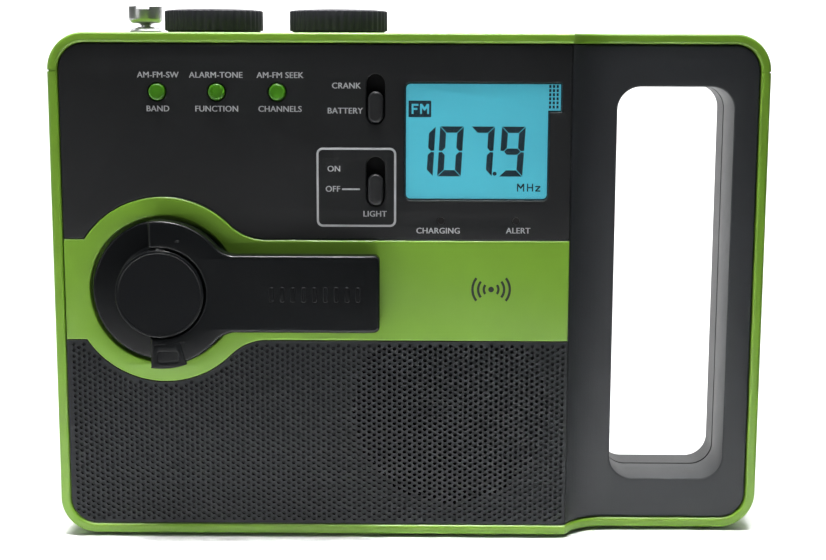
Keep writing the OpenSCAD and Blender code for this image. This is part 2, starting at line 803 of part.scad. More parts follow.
module finger_cup() color(black) place() difference() {
    rod_y(cup_x(), hub_z, arm_back - 3.9, arm_back, cup_r);
    rod_y(cup_x(), hub_z, arm_back - 2.6, 0, cup_r - 1.3);
    rod_y(cup_x(), hub_z, -10, 0, 1.5 + running);
}

module cup_rivet() color(steel) place() {
    rod_y(cup_x(), hub_z, arm_front + 0.8, arm_back - 1, 1.5);
    rod_y(cup_x(), hub_z, arm_back - 2.3, arm_back - 1.2, 2.8);
}

// ---------------------------------------------------------------- antenna, lamp and sockets

module tube_z(z0, z1, r_out, r_in) place() translate([antenna_x, antenna_y, 0]) difference() {
    translate([0, 0, z0]) cylinder(h = z1 - z0, r = r_out);
    translate([0, 0, z0 - 1]) cylinder(h = z1 - z0 + 2, r = r_in);
}

module antenna_tube() color(bright) tube_z(8, body_h + 1.6, 3.2, 2.75);

module antenna_collar() color(bright) tube_z(body_h, body_h + 1.8, 5.25, 3.2 + running);

module antenna_mid() color(bright) tube_z(10, body_h + 2, 2.7, 1.6);

module antenna_tip() color(bright) place() translate([antenna_x, antenna_y, 0]) {
    translate([0, 0, 12]) cylinder(h = body_h + 4 - 12, r = 1.55);
    translate([0, 0, body_h + 2.9]) difference() {
        cylinder(h = cap_h, r = 5.2);
        translate([-2.1, -6, cap_h - 0.9]) cube([4.2, 12, 2]);
    }
}

module around_lamp() place()
    translate([side_x, lamp_y, lamp_z]) rotate([0, 90, 0]) rotate_extrude() children();

module lamp_lens() color([0.85, 0.92, 0.95, 0.5]) around_lamp() translate([0, 0.1]) square([lamp_r, 1.8]);

module lamp_reflector() color(bright) around_lamp() polygon([
    [lamp_r, 2], [lamp_r, 3], [lamp_r - 0.9, 3], [9.5, 12], [0, 12], [0, 11], [8.8, 11], [lamp_r - 1.9, 2]]);

module lamp_leds() color([0.95, 0.95, 0.85]) place() for (a = [90, 210, 330]) {
    y = lamp_y + 4.6 * cos(a);
    z = lamp_z + 4.6 * sin(a);
    rod_x(y, z, side_x + 8, side_x + 11, 2.4);
    translate([side_x + 8, y, z]) sphere(2.4);
}

module jack(z, bore_r, pin) color(black) place() difference() {
    union() {
        rod_x(jack_y, z, side_x + 0.2, side_x + 6, jack_nose_r);
        box([side_x + 5.6, jack_y - 4.5, z - 4.5], [side_x + 17, jack_y + 4.5, z + 4.5]);
    }
    difference() {
        rod_x(jack_y, z, side_x - 1, side_x + 15, bore_r);
        if (pin > 0) rod_x(jack_y, z, side_x + 1, side_x + 16, pin);
    }
}

module earphone_jack() jack(earphone_z, 1.85, 0);

module charge_jack() jack(charge_z, 2.85, 0.65);

// ---------------------------------------------------------------- assembly

perimeter_frame();
front_cabinet();
rear_cabinet();
control_panel();
crank_band();
speaker_grille();
display_window();
lcd_panel();
lcd_backlight();
control_board();
tact_switches();
slide_switch_bodies();
indicator_leds();
main_board();
volume_pot();
tuning_encoder();
volume_shaft();
tuning_shaft();
volume_knob();
tuning_knob();
speaker_frame();
speaker_magnet();
speaker_cone();
gearbox_plates();
gearbox_posts();
crank_bushing();
idler_pin();
generator_housing();
generator_coil();
generator_rotor();
crank_hub();
hub_cap();
hinge_pin();
crank_gear();
idler_gear();
crank_arm();
finger_cup();
cup_rivet();
band_button();
weather_button();
scan_button();
source_slider();
light_slider();
ferrite_rod();
ferrite_coil();
rechargeable_pack();
aa_cells();
battery_contacts();
battery_door();
antenna_tube();
antenna_collar();
antenna_mid();
antenna_tip();
lamp_reflector();
lamp_lens();
lamp_leds();
charge_jack();
earphone_jack();
cabinet_screws();
rubber_feet();
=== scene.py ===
"""Looks for the hand-cranked emergency radio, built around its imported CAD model.

Shapes are drawn in millimetres in the casing's own frame: x from the casing's middle, y = 0 on
the front rim's plane and growing backwards, z = 0 under the casing. finish_mesh() turns them
into metres in the model's frame.
"""

import math

import bmesh
import bpy
import json
from mathutils import Matrix, Vector


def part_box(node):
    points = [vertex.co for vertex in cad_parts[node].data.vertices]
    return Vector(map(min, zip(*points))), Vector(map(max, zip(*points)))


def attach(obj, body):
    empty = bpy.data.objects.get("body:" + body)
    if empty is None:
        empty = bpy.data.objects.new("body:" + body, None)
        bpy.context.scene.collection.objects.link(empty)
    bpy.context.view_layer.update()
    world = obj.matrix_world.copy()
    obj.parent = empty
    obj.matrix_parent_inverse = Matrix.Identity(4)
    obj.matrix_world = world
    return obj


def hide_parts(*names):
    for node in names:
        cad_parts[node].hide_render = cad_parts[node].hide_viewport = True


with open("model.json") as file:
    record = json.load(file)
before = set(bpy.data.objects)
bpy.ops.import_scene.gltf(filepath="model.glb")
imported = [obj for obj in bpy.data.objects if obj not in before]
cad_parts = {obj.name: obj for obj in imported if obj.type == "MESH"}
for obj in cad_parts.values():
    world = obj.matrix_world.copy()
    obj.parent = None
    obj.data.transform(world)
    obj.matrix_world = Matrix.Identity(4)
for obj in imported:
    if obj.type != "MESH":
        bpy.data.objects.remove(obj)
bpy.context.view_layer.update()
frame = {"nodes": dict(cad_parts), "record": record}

MM = 0.001
FRAME_LOW, FRAME_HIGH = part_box("perimeter_frame")
FRONT_Y = FRAME_LOW.y / MM
FOOT_H = FRAME_LOW.z / MM

# ---------------- sizes, in millimetres

BODY_W = (FRAME_HIGH.x - FRAME_LOW.x) / MM
BODY_H = (FRAME_HIGH.z - FRAME_LOW.z) / MM
BODY_D = (FRAME_HIGH.y - FRAME_LOW.y) / MM
CORNER_R = 11
RIM_W = 3
SEAM = 0.3
INSET = RIM_W + SEAM
FACE_Y = 0.5
DECK_Y = 3.2
HANDLE_X = 47.5
HANDLE_RECESS = 8.5
HANDLE_T = 29
FRONT_BLEND = 13
REAR_BLEND_R = 15
PARTING_Y = 26.5
RIM_SEAM_Z = 141.2
OPENING = (61.8, 96.9)
OPENING_H = 121.2
OPENING_R = 7
BAND_GAP = 0.2
FACE_RIGHT = HANDLE_X - BAND_GAP

HUB = (-74.4, 75.9)
BAND_HALF = 15.25
RING_R = 28.1
BAND_FILLET = 15.5
BAND_Y = 0.3
WELL_FLOOR = 4.2
WELL_R = 22.3
HUB_R = 21.2
CAP_R = 13.1
CAP_FRONT = -8.0
ARM_FRONT = -7.5
ARM_BACK = -1.3
ARM_HALF = 11.6
ARM_REACH = 65.1
ARM_FILLET = 8
ARM_TIP_R = 1.7
RELIEF = 0.3
FORK_R = HUB_R + 0.6
HOLE_R = 13.4

BUTTON_X = (-75.2, -57.6, -39.7)
BUTTON_Z = 135.1
BUTTON_R = 2.45
SLIDER_X = -10.7
SLOT_Z = (133.2, 108.8)
SLIDER_W = 4.5
SLIDER_LEN = 9.3
SLIDER_TRAVEL = 4.8
SLOT_W = SLIDER_W + 1
SLOT_LEN = SLIDER_LEN + SLIDER_TRAVEL + 0.6
LED_X = (8.85, 31.25)
LED_Z = 97.1
WINDOW = (-2, 103.4, 40.6, 138)
TAB_X = 44.3
TAB_Z = 129.6

SPEAKER = (12, 39.5)
SPEAKER_R = 33
HOLE_PITCH = 1.78
GRILLE_HOLE_R = 0.55

KNOB_X = (-61.7, -23)
KNOB_Y = 28
KNOB_R = 15.15
KNOB_H = 6.5
KNOB_RIBS = 40
ANTENNA = (-86.5, 47.5)
CAP_H = 5.7
SIDE_X = -BODY_W / 2
LAMP = (28, 30)
LAMP_R = 14
JACK_Y = 38
JACK_Z = (128, 112)
JACK_R = 3.9
FLOOR_FRONT = -0.3
FLOOR_BACK = 0.1
FLOOR_RIGHT = 0.15

SHARP_ANGLE = 32
PRINT_LIFT = 0.015
INK_EDGE = 0.02


# ---------------- meshes

def new_object(name, data):
    """A new object in the scene."""
    made = bpy.data.objects.new(name, data)
    bpy.context.scene.collection.objects.link(made)
    return made


def evaluated_mesh(holder):
    """An object's mesh after its modifiers. A curve comes out as a mesh too."""
    bpy.context.view_layer.update()
    graph = bpy.context.evaluated_depsgraph_get()
    return bpy.data.meshes.new_from_object(holder.evaluated_get(graph))


def shade(mesh, sharp):
    """Smooth shading, with sharp edges where faces meet at more than the given degrees."""
    mesh.polygons.foreach_set("use_smooth", [True] * len(mesh.polygons))
    mesh.set_sharp_from_angle(angle=math.radians(sharp))


def weld(mesh, dist):
    bm = bmesh.new()
    bm.from_mesh(mesh)
    bmesh.ops.remove_doubles(bm, verts=bm.verts, dist=dist)
    bm.to_mesh(mesh)
    bm.free()


def finish_mesh(name, mesh, sharp=SHARP_ANGLE):
    """Moves a mesh from the casing's frame to the model's, shades it and makes its object."""
    mesh.transform(Matrix.Scale(MM, 4) @ Matrix.Translation((0, FRONT_Y, FOOT_H)))
    bm = bmesh.new()
    bm.from_mesh(mesh)
    bmesh.ops.recalc_face_normals(bm, faces=bm.faces)
    bm.to_mesh(mesh)
    bm.free()
    shade(mesh, sharp)
    mesh.update()
    return new_object(name, mesh)


def mesh_piece(name, verts, faces, sharp=SHARP_ANGLE):
    """A piece from points in the casing's frame."""
    mesh = bpy.data.meshes.new(name)
    mesh.from_pydata([tuple(v) for v in verts], [], faces)
    weld(mesh, 0.001)
    return finish_mesh(name, mesh, sharp)


def dress(piece, body, slot, material, *nodes):
    """Rides, material and the CAD nodes that a piece stands for. The slot argument is not used."""
    piece.data.materials.clear()
    piece.data.materials.append(material)
    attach(piece, body)
    if nodes:
        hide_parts(*nodes)
    return piece


def ray(r, degrees):
    return (r * math.cos(math.radians(degrees)), r * math.sin(math.radians(degrees)))


def arc(cx, cz, r, start, end, steps):
    """Points on an arc, both ends included."""
    turn = [start + (end - start) * i / steps for i in range(steps + 1)]
    return [(cx + ray(r, a)[0], cz + ray(r, a)[1]) for a in turn]


def rounded_loop(x0, z0, x1, z1, r, steps=8):
    """A rectangle with round corners, counter-clockwise. r is one radius or four, from lower left."""
    radii = r if isinstance(r, tuple) else (r, r, r, r)
    points = []
    corners = ((x0, z0, 1, 1, 180), (x1, z0, -1, 1, 270), (x1, z1, -1, -1, 0), (x0, z1, 1, -1, 90))
    for (cx, cz, sx, sz, start), radius in zip(corners, radii):
        if radius <= 0:
            points.append((cx, cz))
        else:
            points += arc(cx + sx * radius, cz + sz * radius, radius, start, start + 90, steps)
    return points


def casing_loop(margin, steps=16):
    half = BODY_W / 2 - margin
    return rounded_loop(-half, margin, half, BODY_H - margin, CORNER_R - margin, steps)


def stadium_loop(cx, cz, width, length, steps=12):
    r, half = width / 2, (length - width) / 2
    return arc(cx, cz - half, r, 180, 360, steps) + arc(cx, cz + half, r, 0, 180, steps)


def circle_loop(cx, cz, r, steps=32):
    return arc(cx, cz, r, 0, 360 - 360 / steps, steps - 1)


def keyhole_corner(r, half, fillet):
    """Centre of the upper hollow corner of a keyhole, from its disc's centre, and its touching angle."""
    fz = half + fillet
    fx = math.sqrt((r + fillet) ** 2 - fz ** 2)
    return fx, fz, math.degrees(math.atan2(fz, fx))


def opening_loop():
    low, high = (BODY_H - OPENING_H) / 2, (BODY_H + OPENING_H) / 2
    return rounded_loop(OPENING[0], low, OPENING[1], high, OPENING_R, 12)


def clip_right(points, x):
    """A counter-clockwise convex outline, cut off to the right of x."""
    kept = []
    for (ax, az), (bx, bz) in zip(points, points[1:] + points[:1]):
        if ax <= x:
            kept.append((ax, az))
        if (ax - x) * (bx - x) < 0:
            t = (x - ax) / (bx - ax)
            kept.append((x, az + t * (bz - az)))
    return kept


def flip_x(points):
    return [(-x, z) for x, z in reversed(points)]


def plate_mesh(name, loops, y0, y1, edge, rounds=3):
    """A plate with rounded edges, front at y0 and back at y1. The first loop is its outline."""
    curve = bpy.data.curves.new(name, "CURVE")
    curve.dimensions = "2D"
    curve.fill_mode = "BOTH"
    curve.extrude = (y1 - y0) / 2 - edge
    curve.bevel_depth = edge
    curve.bevel_resolution = rounds
    curve.offset = -edge
    for loop in loops:
        spline = curve.splines.new("POLY")
        spline.points.add(len(loop) - 1)
        for point, (x, z) in zip(spline.points, loop):
            point.co = (x, z, 0, 1)
        spline.use_cyclic_u = True
    holder = new_object(name, curve)
    mesh = evaluated_mesh(holder)
    bpy.data.objects.remove(holder)
    bpy.data.curves.remove(curve)
    # the curve's own (x, y, z) become x, height and depth
    mesh.transform(Matrix(((1, 0, 0, 0), (0, 0, -1, (y0 + y1) / 2), (0, 1, 0, 0), (0, 0, 0, 1))))
    weld(mesh, 0.002)
    return mesh


def plate(name, loops, y0, y1, edge, rounds=3):
    return finish_mesh(name, plate_mesh(name, loops, y0, y1, edge, rounds))


def cut_across(mesh, xs):
    """Cuts a mesh's faces along upright planes, so that it can be bent smoothly."""
    bm = bmesh.new()
    bm.from_mesh(mesh)
    for x in xs:
        geometry = bm.verts[:] + bm.edges[:] + bm.faces[:]
        bmesh.ops.bisect_plane(bm, geom=geometry, dist=1e-5, plane_co=(x, 0, 0), plane_no=(1, 0, 0))
    bm.to_mesh(mesh)
    bm.free()


def lathe(name, profile, centre, axis, segments=96):
    """Turns (radius, height) points about an axis: "y" for depth, "z" for height, "x" for sideways."""
    verts, faces = [], []
    for r, h in profile:
        for i in range(segments):
            a, b = ray(r, 360 * i / segments)
            offset = {"y": (a, h, b), "z": (a, b, h), "x": (h, a, b)}[axis]
            verts.append(tuple(c + o for c, o in zip(centre, offset)))
    for k in range(len(profile) - 1):
        for i in range(segments):
            j = (i + 1) % segments
            faces.append((k * segments + i, k * segments + j, (k + 1) * segments + j, (k + 1) * segments + i))
    for k in (0, len(profile) - 1):
        if profile[k][0] > 0.01 and profile[0] != profile[-1]:
            faces.append(tuple(k * segments + i for i in range(segments)))
    return mesh_piece(name, verts, faces)


def rounded_profile(points, radii, steps=5):
    """A polyline with its inner corners rounded to the given radii."""
    out = [points[0]]
    for before, corner, after, r in zip(points, points[1:], points[2:], radii):
        a, c, b = Vector(before), Vector(corner), Vector(after)
        u, v = (a - c).normalized(), (b - c).normalized()
        half = u.angle(v) / 2
        if r <= 0 or half > 1.56:
            out.append(tuple(c))
            continue
        reach = min(r / math.tan(half), (a - c).length * 0.49, (b - c).length * 0.49)
        r = reach * math.tan(half)
        middle = c + (u + v).normalized() * (r / math.sin(half))
        start, end = c + u * reach - middle, c + v * reach - middle
        sweep = start.angle_signed(end)
        for i in range(steps + 1):
            turned = Matrix.Rotation(-sweep * i / steps, 2) @ start
            out.append(tuple(middle + turned))
    out.append(points[-1])
    return out


def join(name, pieces):
    """Joins meshes that share a material into one piece."""
    bm = bmesh.new()
    for piece in pieces:
        bm.from_mesh(piece.data)
    mesh = bpy.data.meshes.new(name)
    bm.to_mesh(mesh)
    bm.free()
    for piece in pieces:
        bpy.data.objects.remove(piece)
    return new_object(name, mesh)


def rod(centre, axis, r, start, end, segments=64):
    """A plain cylinder along an axis, used to cut holes."""
    return lathe("rod", [(0, start), (r, start), (r, end), (0, end)], centre, axis, segments)


def block(x0, x1, y0, y1, z0, z1):
    """A plain box, used to cut notches."""
    verts = [(x, y, z) for x in (x0, x1) for y in (y0, y1) for z in (z0, z1)]
    faces = [(0, 1, 3, 2), (4, 6, 7, 5), (0, 4, 5, 1), (2, 3, 7, 6), (0, 2, 6, 4), (1, 5, 7, 3)]
    return mesh_piece("block", verts, faces)


def apply_modifiers(piece):
    mesh = evaluated_mesh(piece)
    piece.modifiers.clear()
    piece.data = mesh
    return piece


def cut(piece, tools):
    """Cuts tool shapes out of a piece."""
    for tool in tools:
        knife = piece.modifiers.new("cut", "BOOLEAN")
        knife.operation = "DIFFERENCE"
        knife.solver = "EXACT"
        knife.object = tool
    apply_modifiers(piece)
    for tool in tools:
        bpy.data.objects.remove(tool)
    shade(piece.data, SHARP_ANGLE)
    return piece


def soften(node, name, width):
    """A copy of a CAD node with its sharp edges rounded."""
    angle = 30
    mesh = frame["nodes"][node].data.copy()
    mesh.name = name
    bm = bmesh.new()
    bm.from_mesh(mesh)
    bmesh.ops.remove_doubles(bm, verts=bm.verts, dist=2e-6)
    bmesh.ops.dissolve_limit(bm, angle_limit=math.radians(0.5), verts=bm.verts, edges=bm.edges)
    bm.to_mesh(mesh)
    bm.free()
    shade(mesh, angle)
    piece = new_object(name, mesh)
    bevel = piece.modifiers.new("edges", "BEVEL")
    bevel.width = width * MM
    bevel.segments = 2
    bevel.limit_method = "ANGLE"
    bevel.angle_limit = math.radians(angle)
    bevel.harden_normals = True
    return apply_modifiers(piece)


# ---------------- materials

def nodes_of(name):
    material = bpy.data.materials.new(name)
    material.use_nodes = True
    tree = material.node_tree
    return material, tree, tree.nodes["Principled BSDF"]


def add(tree, kind, **inputs):
    node = tree.nodes.new(kind)
    for key, value in inputs.items():
        if key in node.inputs:
            node.inputs[key].default_value = value
        else:
            setattr(node, key, value)
    return node


def noise_at(tree, scale, detail=4.0, rough=0.6):
    place = tree.nodes.new("ShaderNodeTexCoord")
    texture = add(tree, "ShaderNodeTexNoise", Scale=scale, Detail=detail, Roughness=rough)
    tree.links.new(place.outputs["Object"], texture.inputs["Vector"])
    return texture


def ramp(tree, source, low, high):
    node = tree.nodes.new("ShaderNodeValToRGB")
    node.color_ramp.elements[0].position = 0.3
    node.color_ramp.elements[1].position = 0.7
    node.color_ramp.elements[0].color = low
    node.color_ramp.elements[1].color = high
    tree.links.new(source, node.inputs["Fac"])
    return node


def vary_gloss(tree, shader, scale, low, high):
    """Roughness that wanders between two values."""
    marks = noise_at(tree, scale, 5, 0.7)
    gloss = add(tree, "ShaderNodeMapRange")
    gloss.inputs["To Min"].default_value = low
    gloss.inputs["To Max"].default_value = high
    tree.links.new(marks.outputs["Fac"], gloss.inputs["Value"])
    tree.links.new(gloss.outputs["Result"], shader.inputs["Roughness"])


def plastic(name, colour, rough, spread=0.06, grain=2600, bump=0.12, tint=0.12, coat=0.0, metallic=0.0,
            specular=0.5):
    """Moulded plastic: faint colour mottling, a worn gloss that varies, and a fine moulded grain."""
    material, tree, shader = nodes_of(name)
    wide = noise_at(tree, 38, 3)
    fine = noise_at(tree, grain, 2)
    dark = tuple(c * (1 - tint) for c in colour) + (1,)
    light = tuple(min(1, c * (1 + tint)) for c in colour) + (1,)
    colours = ramp(tree, wide.outputs["Fac"], dark, light)
    tree.links.new(colours.outputs["Color"], shader.inputs["Base Color"])
    vary_gloss(tree, shader, 95, rough - spread, rough + spread)
    relief = add(tree, "ShaderNodeBump", Strength=bump, Distance=0.0002)
    tree.links.new(fine.outputs["Fac"], relief.inputs["Height"])
    tree.links.new(relief.outputs["Normal"], shader.inputs["Normal"])
    shader.inputs["Metallic"].default_value = metallic
    shader.inputs["Specular IOR Level"].default_value = specular
    shader.inputs["Coat Weight"].default_value = coat
    shader.inputs["Coat Roughness"].default_value = 0.15
    return material


def clear(name, colour, alpha, rough):
    """Clear plastic or glass, with faint wiping marks in its gloss."""
    material, tree, shader = nodes_of(name)
    vary_gloss(tree, shader, 120, rough * 0.6, rough * 1.6)
    shader.inputs["Base Color"].default_value = colour + (1,)
    shader.inputs["Alpha"].default_value = alpha
    return material


def painted_glow(name, low, high, strength):
    """A surface with a painted glow: it gives off a little light of its own, and its brightness drifts a
    little across it.
    """
    material, tree, shader = nodes_of(name)
    drift = noise_at(tree, 30, 2)
    colours = ramp(tree, drift.outputs["Fac"], low + (1,), high + (1,))
    tree.links.new(colours.outputs["Color"], shader.inputs["Base Color"])
    tree.links.new(colours.outputs["Color"], shader.inputs["Emission Color"])
    shader.inputs["Emission Strength"].default_value = strength
    shader.inputs["Roughness"].default_value = 0.35
    return material


GREEN = plastic("green_plastic", (0.175, 0.352, 0.026), 0.36, tint=0.05, bump=0.05, coat=0.15)
PANEL = plastic("panel_plastic", (0.0082, 0.009, 0.0097), 0.48, tint=0.15, bump=0.1, specular=0.3)
REAR = plastic("rear_plastic", (0.018, 0.019, 0.021), 0.5, tint=0.15, bump=0.22)
GRAPHITE = plastic("graphite_plastic", (0.0232, 0.0256, 0.0284), 0.5, tint=0.1, bump=0.12, specular=0.35)
GRILLE = plastic("grille_plastic", (0.0165, 0.0186, 0.0204), 0.5, tint=0.1, bump=0.1, specular=0.2)
# painted shade: a darker black for the grille holes' walls and floors, standing in for the shade inside them
HOLE_SHADE = plastic("grille_hole_shade", (0.007, 0.008, 0.009), 0.6, tint=0.15, bump=0.05, specular=0.15)
CRANK = plastic("crank_plastic", (0.0055, 0.0062, 0.0068), 0.24, spread=0.01, tint=0.1, bump=0.03,
                specular=0.2)
CAP = plastic("cap_plastic", (0.0055, 0.0062, 0.007), 0.26, spread=0.04, tint=0.15, bump=0.05, specular=0.2)
KNOB = plastic("knob_plastic", (0.0175, 0.0165, 0.027), 0.55, tint=0.15, bump=0.15)
BUTTON = plastic("button_plastic", (0.05, 0.2, 0.006), 0.28, tint=0.1, bump=0.04)
SLIDER = plastic("slider_plastic", (0.0098, 0.0105, 0.0116), 0.42, tint=0.15, bump=0.08)
# painted shade: a near-black for the deck and the walls in the seams, darker than the black plastics round
# them
RECESS_SHADE = plastic("recess_shade", (0.004, 0.004, 0.0045), 0.8, tint=0.2, specular=0.2)
PRINT = plastic("print_white", (0.45, 0.46, 0.47), 0.6, tint=0.08, bump=0.05)
PRINT_DARK = plastic("print_dark", (0.006, 0.014, 0.008), 0.55, tint=0.1, bump=0.03)
RUBBER = plastic("foot_rubber", (0.016, 0.016, 0.017), 0.75, tint=0.2, bump=0.4)
CHROME = plastic("antenna_chrome", (0.56, 0.56, 0.57), 0.3, spread=0.05, tint=0.04, bump=0.01, metallic=0.85)
STEEL = plastic("plated_steel", (0.5, 0.5, 0.52), 0.32, tint=0.08, bump=0.06, metallic=1.0)
BRASS = plastic("turned_brass", (0.7, 0.48, 0.18), 0.3, tint=0.08, bump=0.05, metallic=1.0)
COPPER = plastic("enamelled_copper", (0.62, 0.26, 0.1), 0.35, tint=0.15, bump=0.3, grain=900, metallic=1.0)
IRON = plastic("ferrite", (0.03, 0.03, 0.033), 0.6, tint=0.25, bump=0.3)
ACETAL = plastic("acetal", (0.62, 0.6, 0.52), 0.45, tint=0.05, bump=0.05)
BOARD = plastic("circuit_board", (0.012, 0.11, 0.035), 0.4, tint=0.25, bump=0.1, grain=700)
CONE = plastic("speaker_paper", (0.015, 0.015, 0.015), 0.85, tint=0.3, bump=0.6, grain=1400)
CELL_BLUE = plastic("cell_sleeve", (0.02, 0.07, 0.3), 0.3, tint=0.1, bump=0.05)
CELL_CAN = plastic("cell_can", (0.42, 0.38, 0.25), 0.3, tint=0.1, bump=0.05, metallic=0.8)
WHITE = plastic("white_diffuser", (0.75, 0.8, 0.82), 0.5, tint=0.04, bump=0.05)
LED_RED = plastic("led_tint", (0.006, 0.0045, 0.0045), 0.4, tint=0.2, bump=0.02)
LED_CLEAR = clear("led_clear", (0.85, 0.87, 0.8), 0.75, 0.1)
LENS = clear("lamp_lens", (0.85, 0.9, 0.92), 0.1, 0.05)
WINDOW_CLEAR = clear("window_clear", (0.55, 0.85, 0.95), 0.02, 0.12)
REFLECTOR = plastic("reflector", (0.62, 0.63, 0.64), 0.16, spread=0.02, tint=0.02, bump=0.0, metallic=1.0)
# painted glow: the display's field and its band mark give off a faint light of their own to look brighter
LCD_GLOW = painted_glow("lcd_blue_glow", (0.06, 0.42, 0.54), (0.07, 0.47, 0.59), 0.35)
SEGMENT = plastic("lcd_segment", (0.006, 0.02, 0.034), 0.5, tint=0.2, bump=0.03, specular=0.08)
SCREW = plastic("screw_steel", (0.12, 0.12, 0.125), 0.35, tint=0.15, bump=0.1, metallic=0.9)


# ---------------- casing

def front_depth(x):
    """How far the casing's front has fallen back at x: flat, an arc that starts with a kink, flat."""
    if x <= HANDLE_X:
        return 0.0
    if x >= HANDLE_X + FRONT_BLEND:
        return HANDLE_RECESS
    r = (FRONT_BLEND ** 2 + HANDLE_RECESS ** 2) / (2 * HANDLE_RECESS)
    return HANDLE_RECESS - r + math.sqrt(r ** 2 - (x - HANDLE_X - FRONT_BLEND) ** 2)


def rear_depth(x):
    """Where the casing's back is at x, with a hollow curve behind the handle."""
    handle_rear = HANDLE_RECESS + HANDLE_T
    if x <= HANDLE_X:
        return BODY_D
    if x >= HANDLE_X + REAR_BLEND_R:
        return handle_rear
    reach = HANDLE_X + REAR_BLEND_R - x
    return handle_rear + REAR_BLEND_R - math.sqrt(REAR_BLEND_R ** 2 - reach ** 2)


def bend_xs():
    front = [HANDLE_X + FRONT_BLEND * i / 14 for i in range(15)]
    rear = [HANDLE_X + REAR_BLEND_R * (1 - math.cos(math.radians(a))) for a in range(0, 91, 6)]
    return sorted(set(front + rear))


def bend(mesh):
    """Moves points near the front with the casing's front, and those near the back with its back."""
    for v in mesh.vertices:
        front, rear = front_depth(v.co.x), rear_depth(v.co.x) - BODY_D
        if v.co.y <= BODY_D / 4:
            v.co.y += front
        elif v.co.y >= BODY_D * 3 / 4:
            v.co.y = max(v.co.y + rear, front)


def casing_holes(shaft_r, mast_r, lamp_r, reach):
    """Cutters for the knob shafts', aerial's, lamp's and sockets' holes, so deep into the casing."""
    outside = 5
    tools = [rod((x, KNOB_Y, BODY_H), "z", shaft_r, -reach, outside) for x in KNOB_X]
    tools.append(rod((*ANTENNA, BODY_H), "z", mast_r, -reach, outside))
    tools.append(rod((SIDE_X, *LAMP), "x", lamp_r, -outside, reach, 96))
    tools += [rod((SIDE_X, JACK_Y, z), "x", JACK_R + 0.1, -outside, reach) for z in JACK_Z]
    return tools


def green_frame():
    """The ring round the whole casing: a crowned rim that follows the handle's hollow curves."""
    outer, inner = casing_loop(0, 20), casing_loop(RIM_W, 20)
    mesh = plate_mesh("frame", [outer, list(reversed(inner))], 0, BODY_D, 0.9, 5)
    cut_across(mesh, bend_xs())
    bend(mesh)
    tools = casing_holes(3.7, 3.4, LAMP_R + 0.3, 5)
    half, depth, seam_half = BODY_W / 2, 0.5, 0.22
    low, high = RIM_SEAM_Z - seam_half, RIM_SEAM_Z + seam_half
    for side, front in ((-1, 0), (1, HANDLE_RECESS)):
        outer, inner = sorted((side * (half + 1), side * (half - depth)))
        tools.append(block(outer, inner, -1, BODY_D + 1, low, high))
        outer, inner = sorted((side * (half + 1), side * (half - RIM_W - 0.1)))
        tools.append(block(outer, inner, -1, front + depth, low, high))
    ring = cut(finish_mesh("frame_ring", mesh), tools)
    return dress(ring, "casing", "green_plastic", GREEN, "perimeter_frame")


def inner_wall():
    """The cabinets' side walls just inside the frame, which close the seam round the faces."""
    wall_in, set_back = 5.8, 2.5
    outer, inner = casing_loop(RIM_W + 0.03), casing_loop(wall_in, 12)
    mesh = plate_mesh("wall", [outer, list(reversed(inner))], set_back, BODY_D - set_back, 0.05, 1)
    cut_across(mesh, bend_xs())
    bend(mesh)
    wall = cut(finish_mesh("wall_ring", mesh), casing_holes(3.6, 3.3, LAMP_R - 0.6, 9))
    # painted shade: the seam walls take the near-black shade rather than the cabinet's black
    return dress(wall, "casing", "black_plastic", RECESS_SHADE, "front_cabinet")


def band_outline(margin):
    """Upper edge of the green band from right to left, above the crank axis's height."""
    r, half, fillet = RING_R + margin, BAND_HALF + margin, BAND_FILLET - margin
    fx, fz, touch = keyhole_corner(r, half, fillet)
    left_end = 180 - math.degrees(math.asin(half / r))
    corner = arc(HUB[0] + fx, HUB[1] + fz, fillet, 270, 180 + touch, 14)
    ring = arc(HUB[0], HUB[1], r, touch, left_end, 40)
    return corner + ring[1:]


def control_panel():
    """The black plate above the band, with holes for the buttons, slots, lamps and display."""
    left, top = -BODY_W / 2 + INSET, BODY_H - INSET
    edge_z = HUB[1] + BAND_HALF + BAND_GAP
    corner_r = CORNER_R - INSET
    outline = [(left, edge_z)] + list(reversed(band_outline(BAND_GAP))) + [(FACE_RIGHT, edge_z)]
    outline += [(FACE_RIGHT, top)] + arc(left + corner_r, top - corner_r, corner_r, 90, 180, 14)
    holes = [display_loop(0.12)]
    holes += [stadium_loop(SLIDER_X, z, SLOT_W, SLOT_LEN) for z in SLOT_Z]
    holes += [circle_loop(x, BUTTON_Z, BUTTON_R + 0.3) for x in BUTTON_X]
    holes += [circle_loop(x, LED_Z, 1.1, 20) for x in LED_X]
    piece = plate("panel_plate", [outline] + [list(reversed(h)) for h in holes], FACE_Y, DECK_Y, 0.4, 4)
    return dress(piece, "casing", "black_plastic", PANEL, "control_panel")


def display_loop(grow):
    """The display's outline: a rectangle with a small square tab at its upper right."""
    x0, z0, x1, z1 = WINDOW
    x0, z0, x1, z1 = x0 - grow, z0 - grow, x1 + grow, z1 + grow
    r = 1.7 + grow
    lower = arc(x0 + r, z0 + r, r, 180, 270, 8) + arc(x1 - r, z0 + r, r, 270, 360, 8)
    tab = [(x1, TAB_Z - grow), (TAB_X + grow, TAB_Z - grow), (TAB_X + grow, z1)]
    return lower + tab + arc(x0 + r, z1 - r, r, 90, 180, 8)


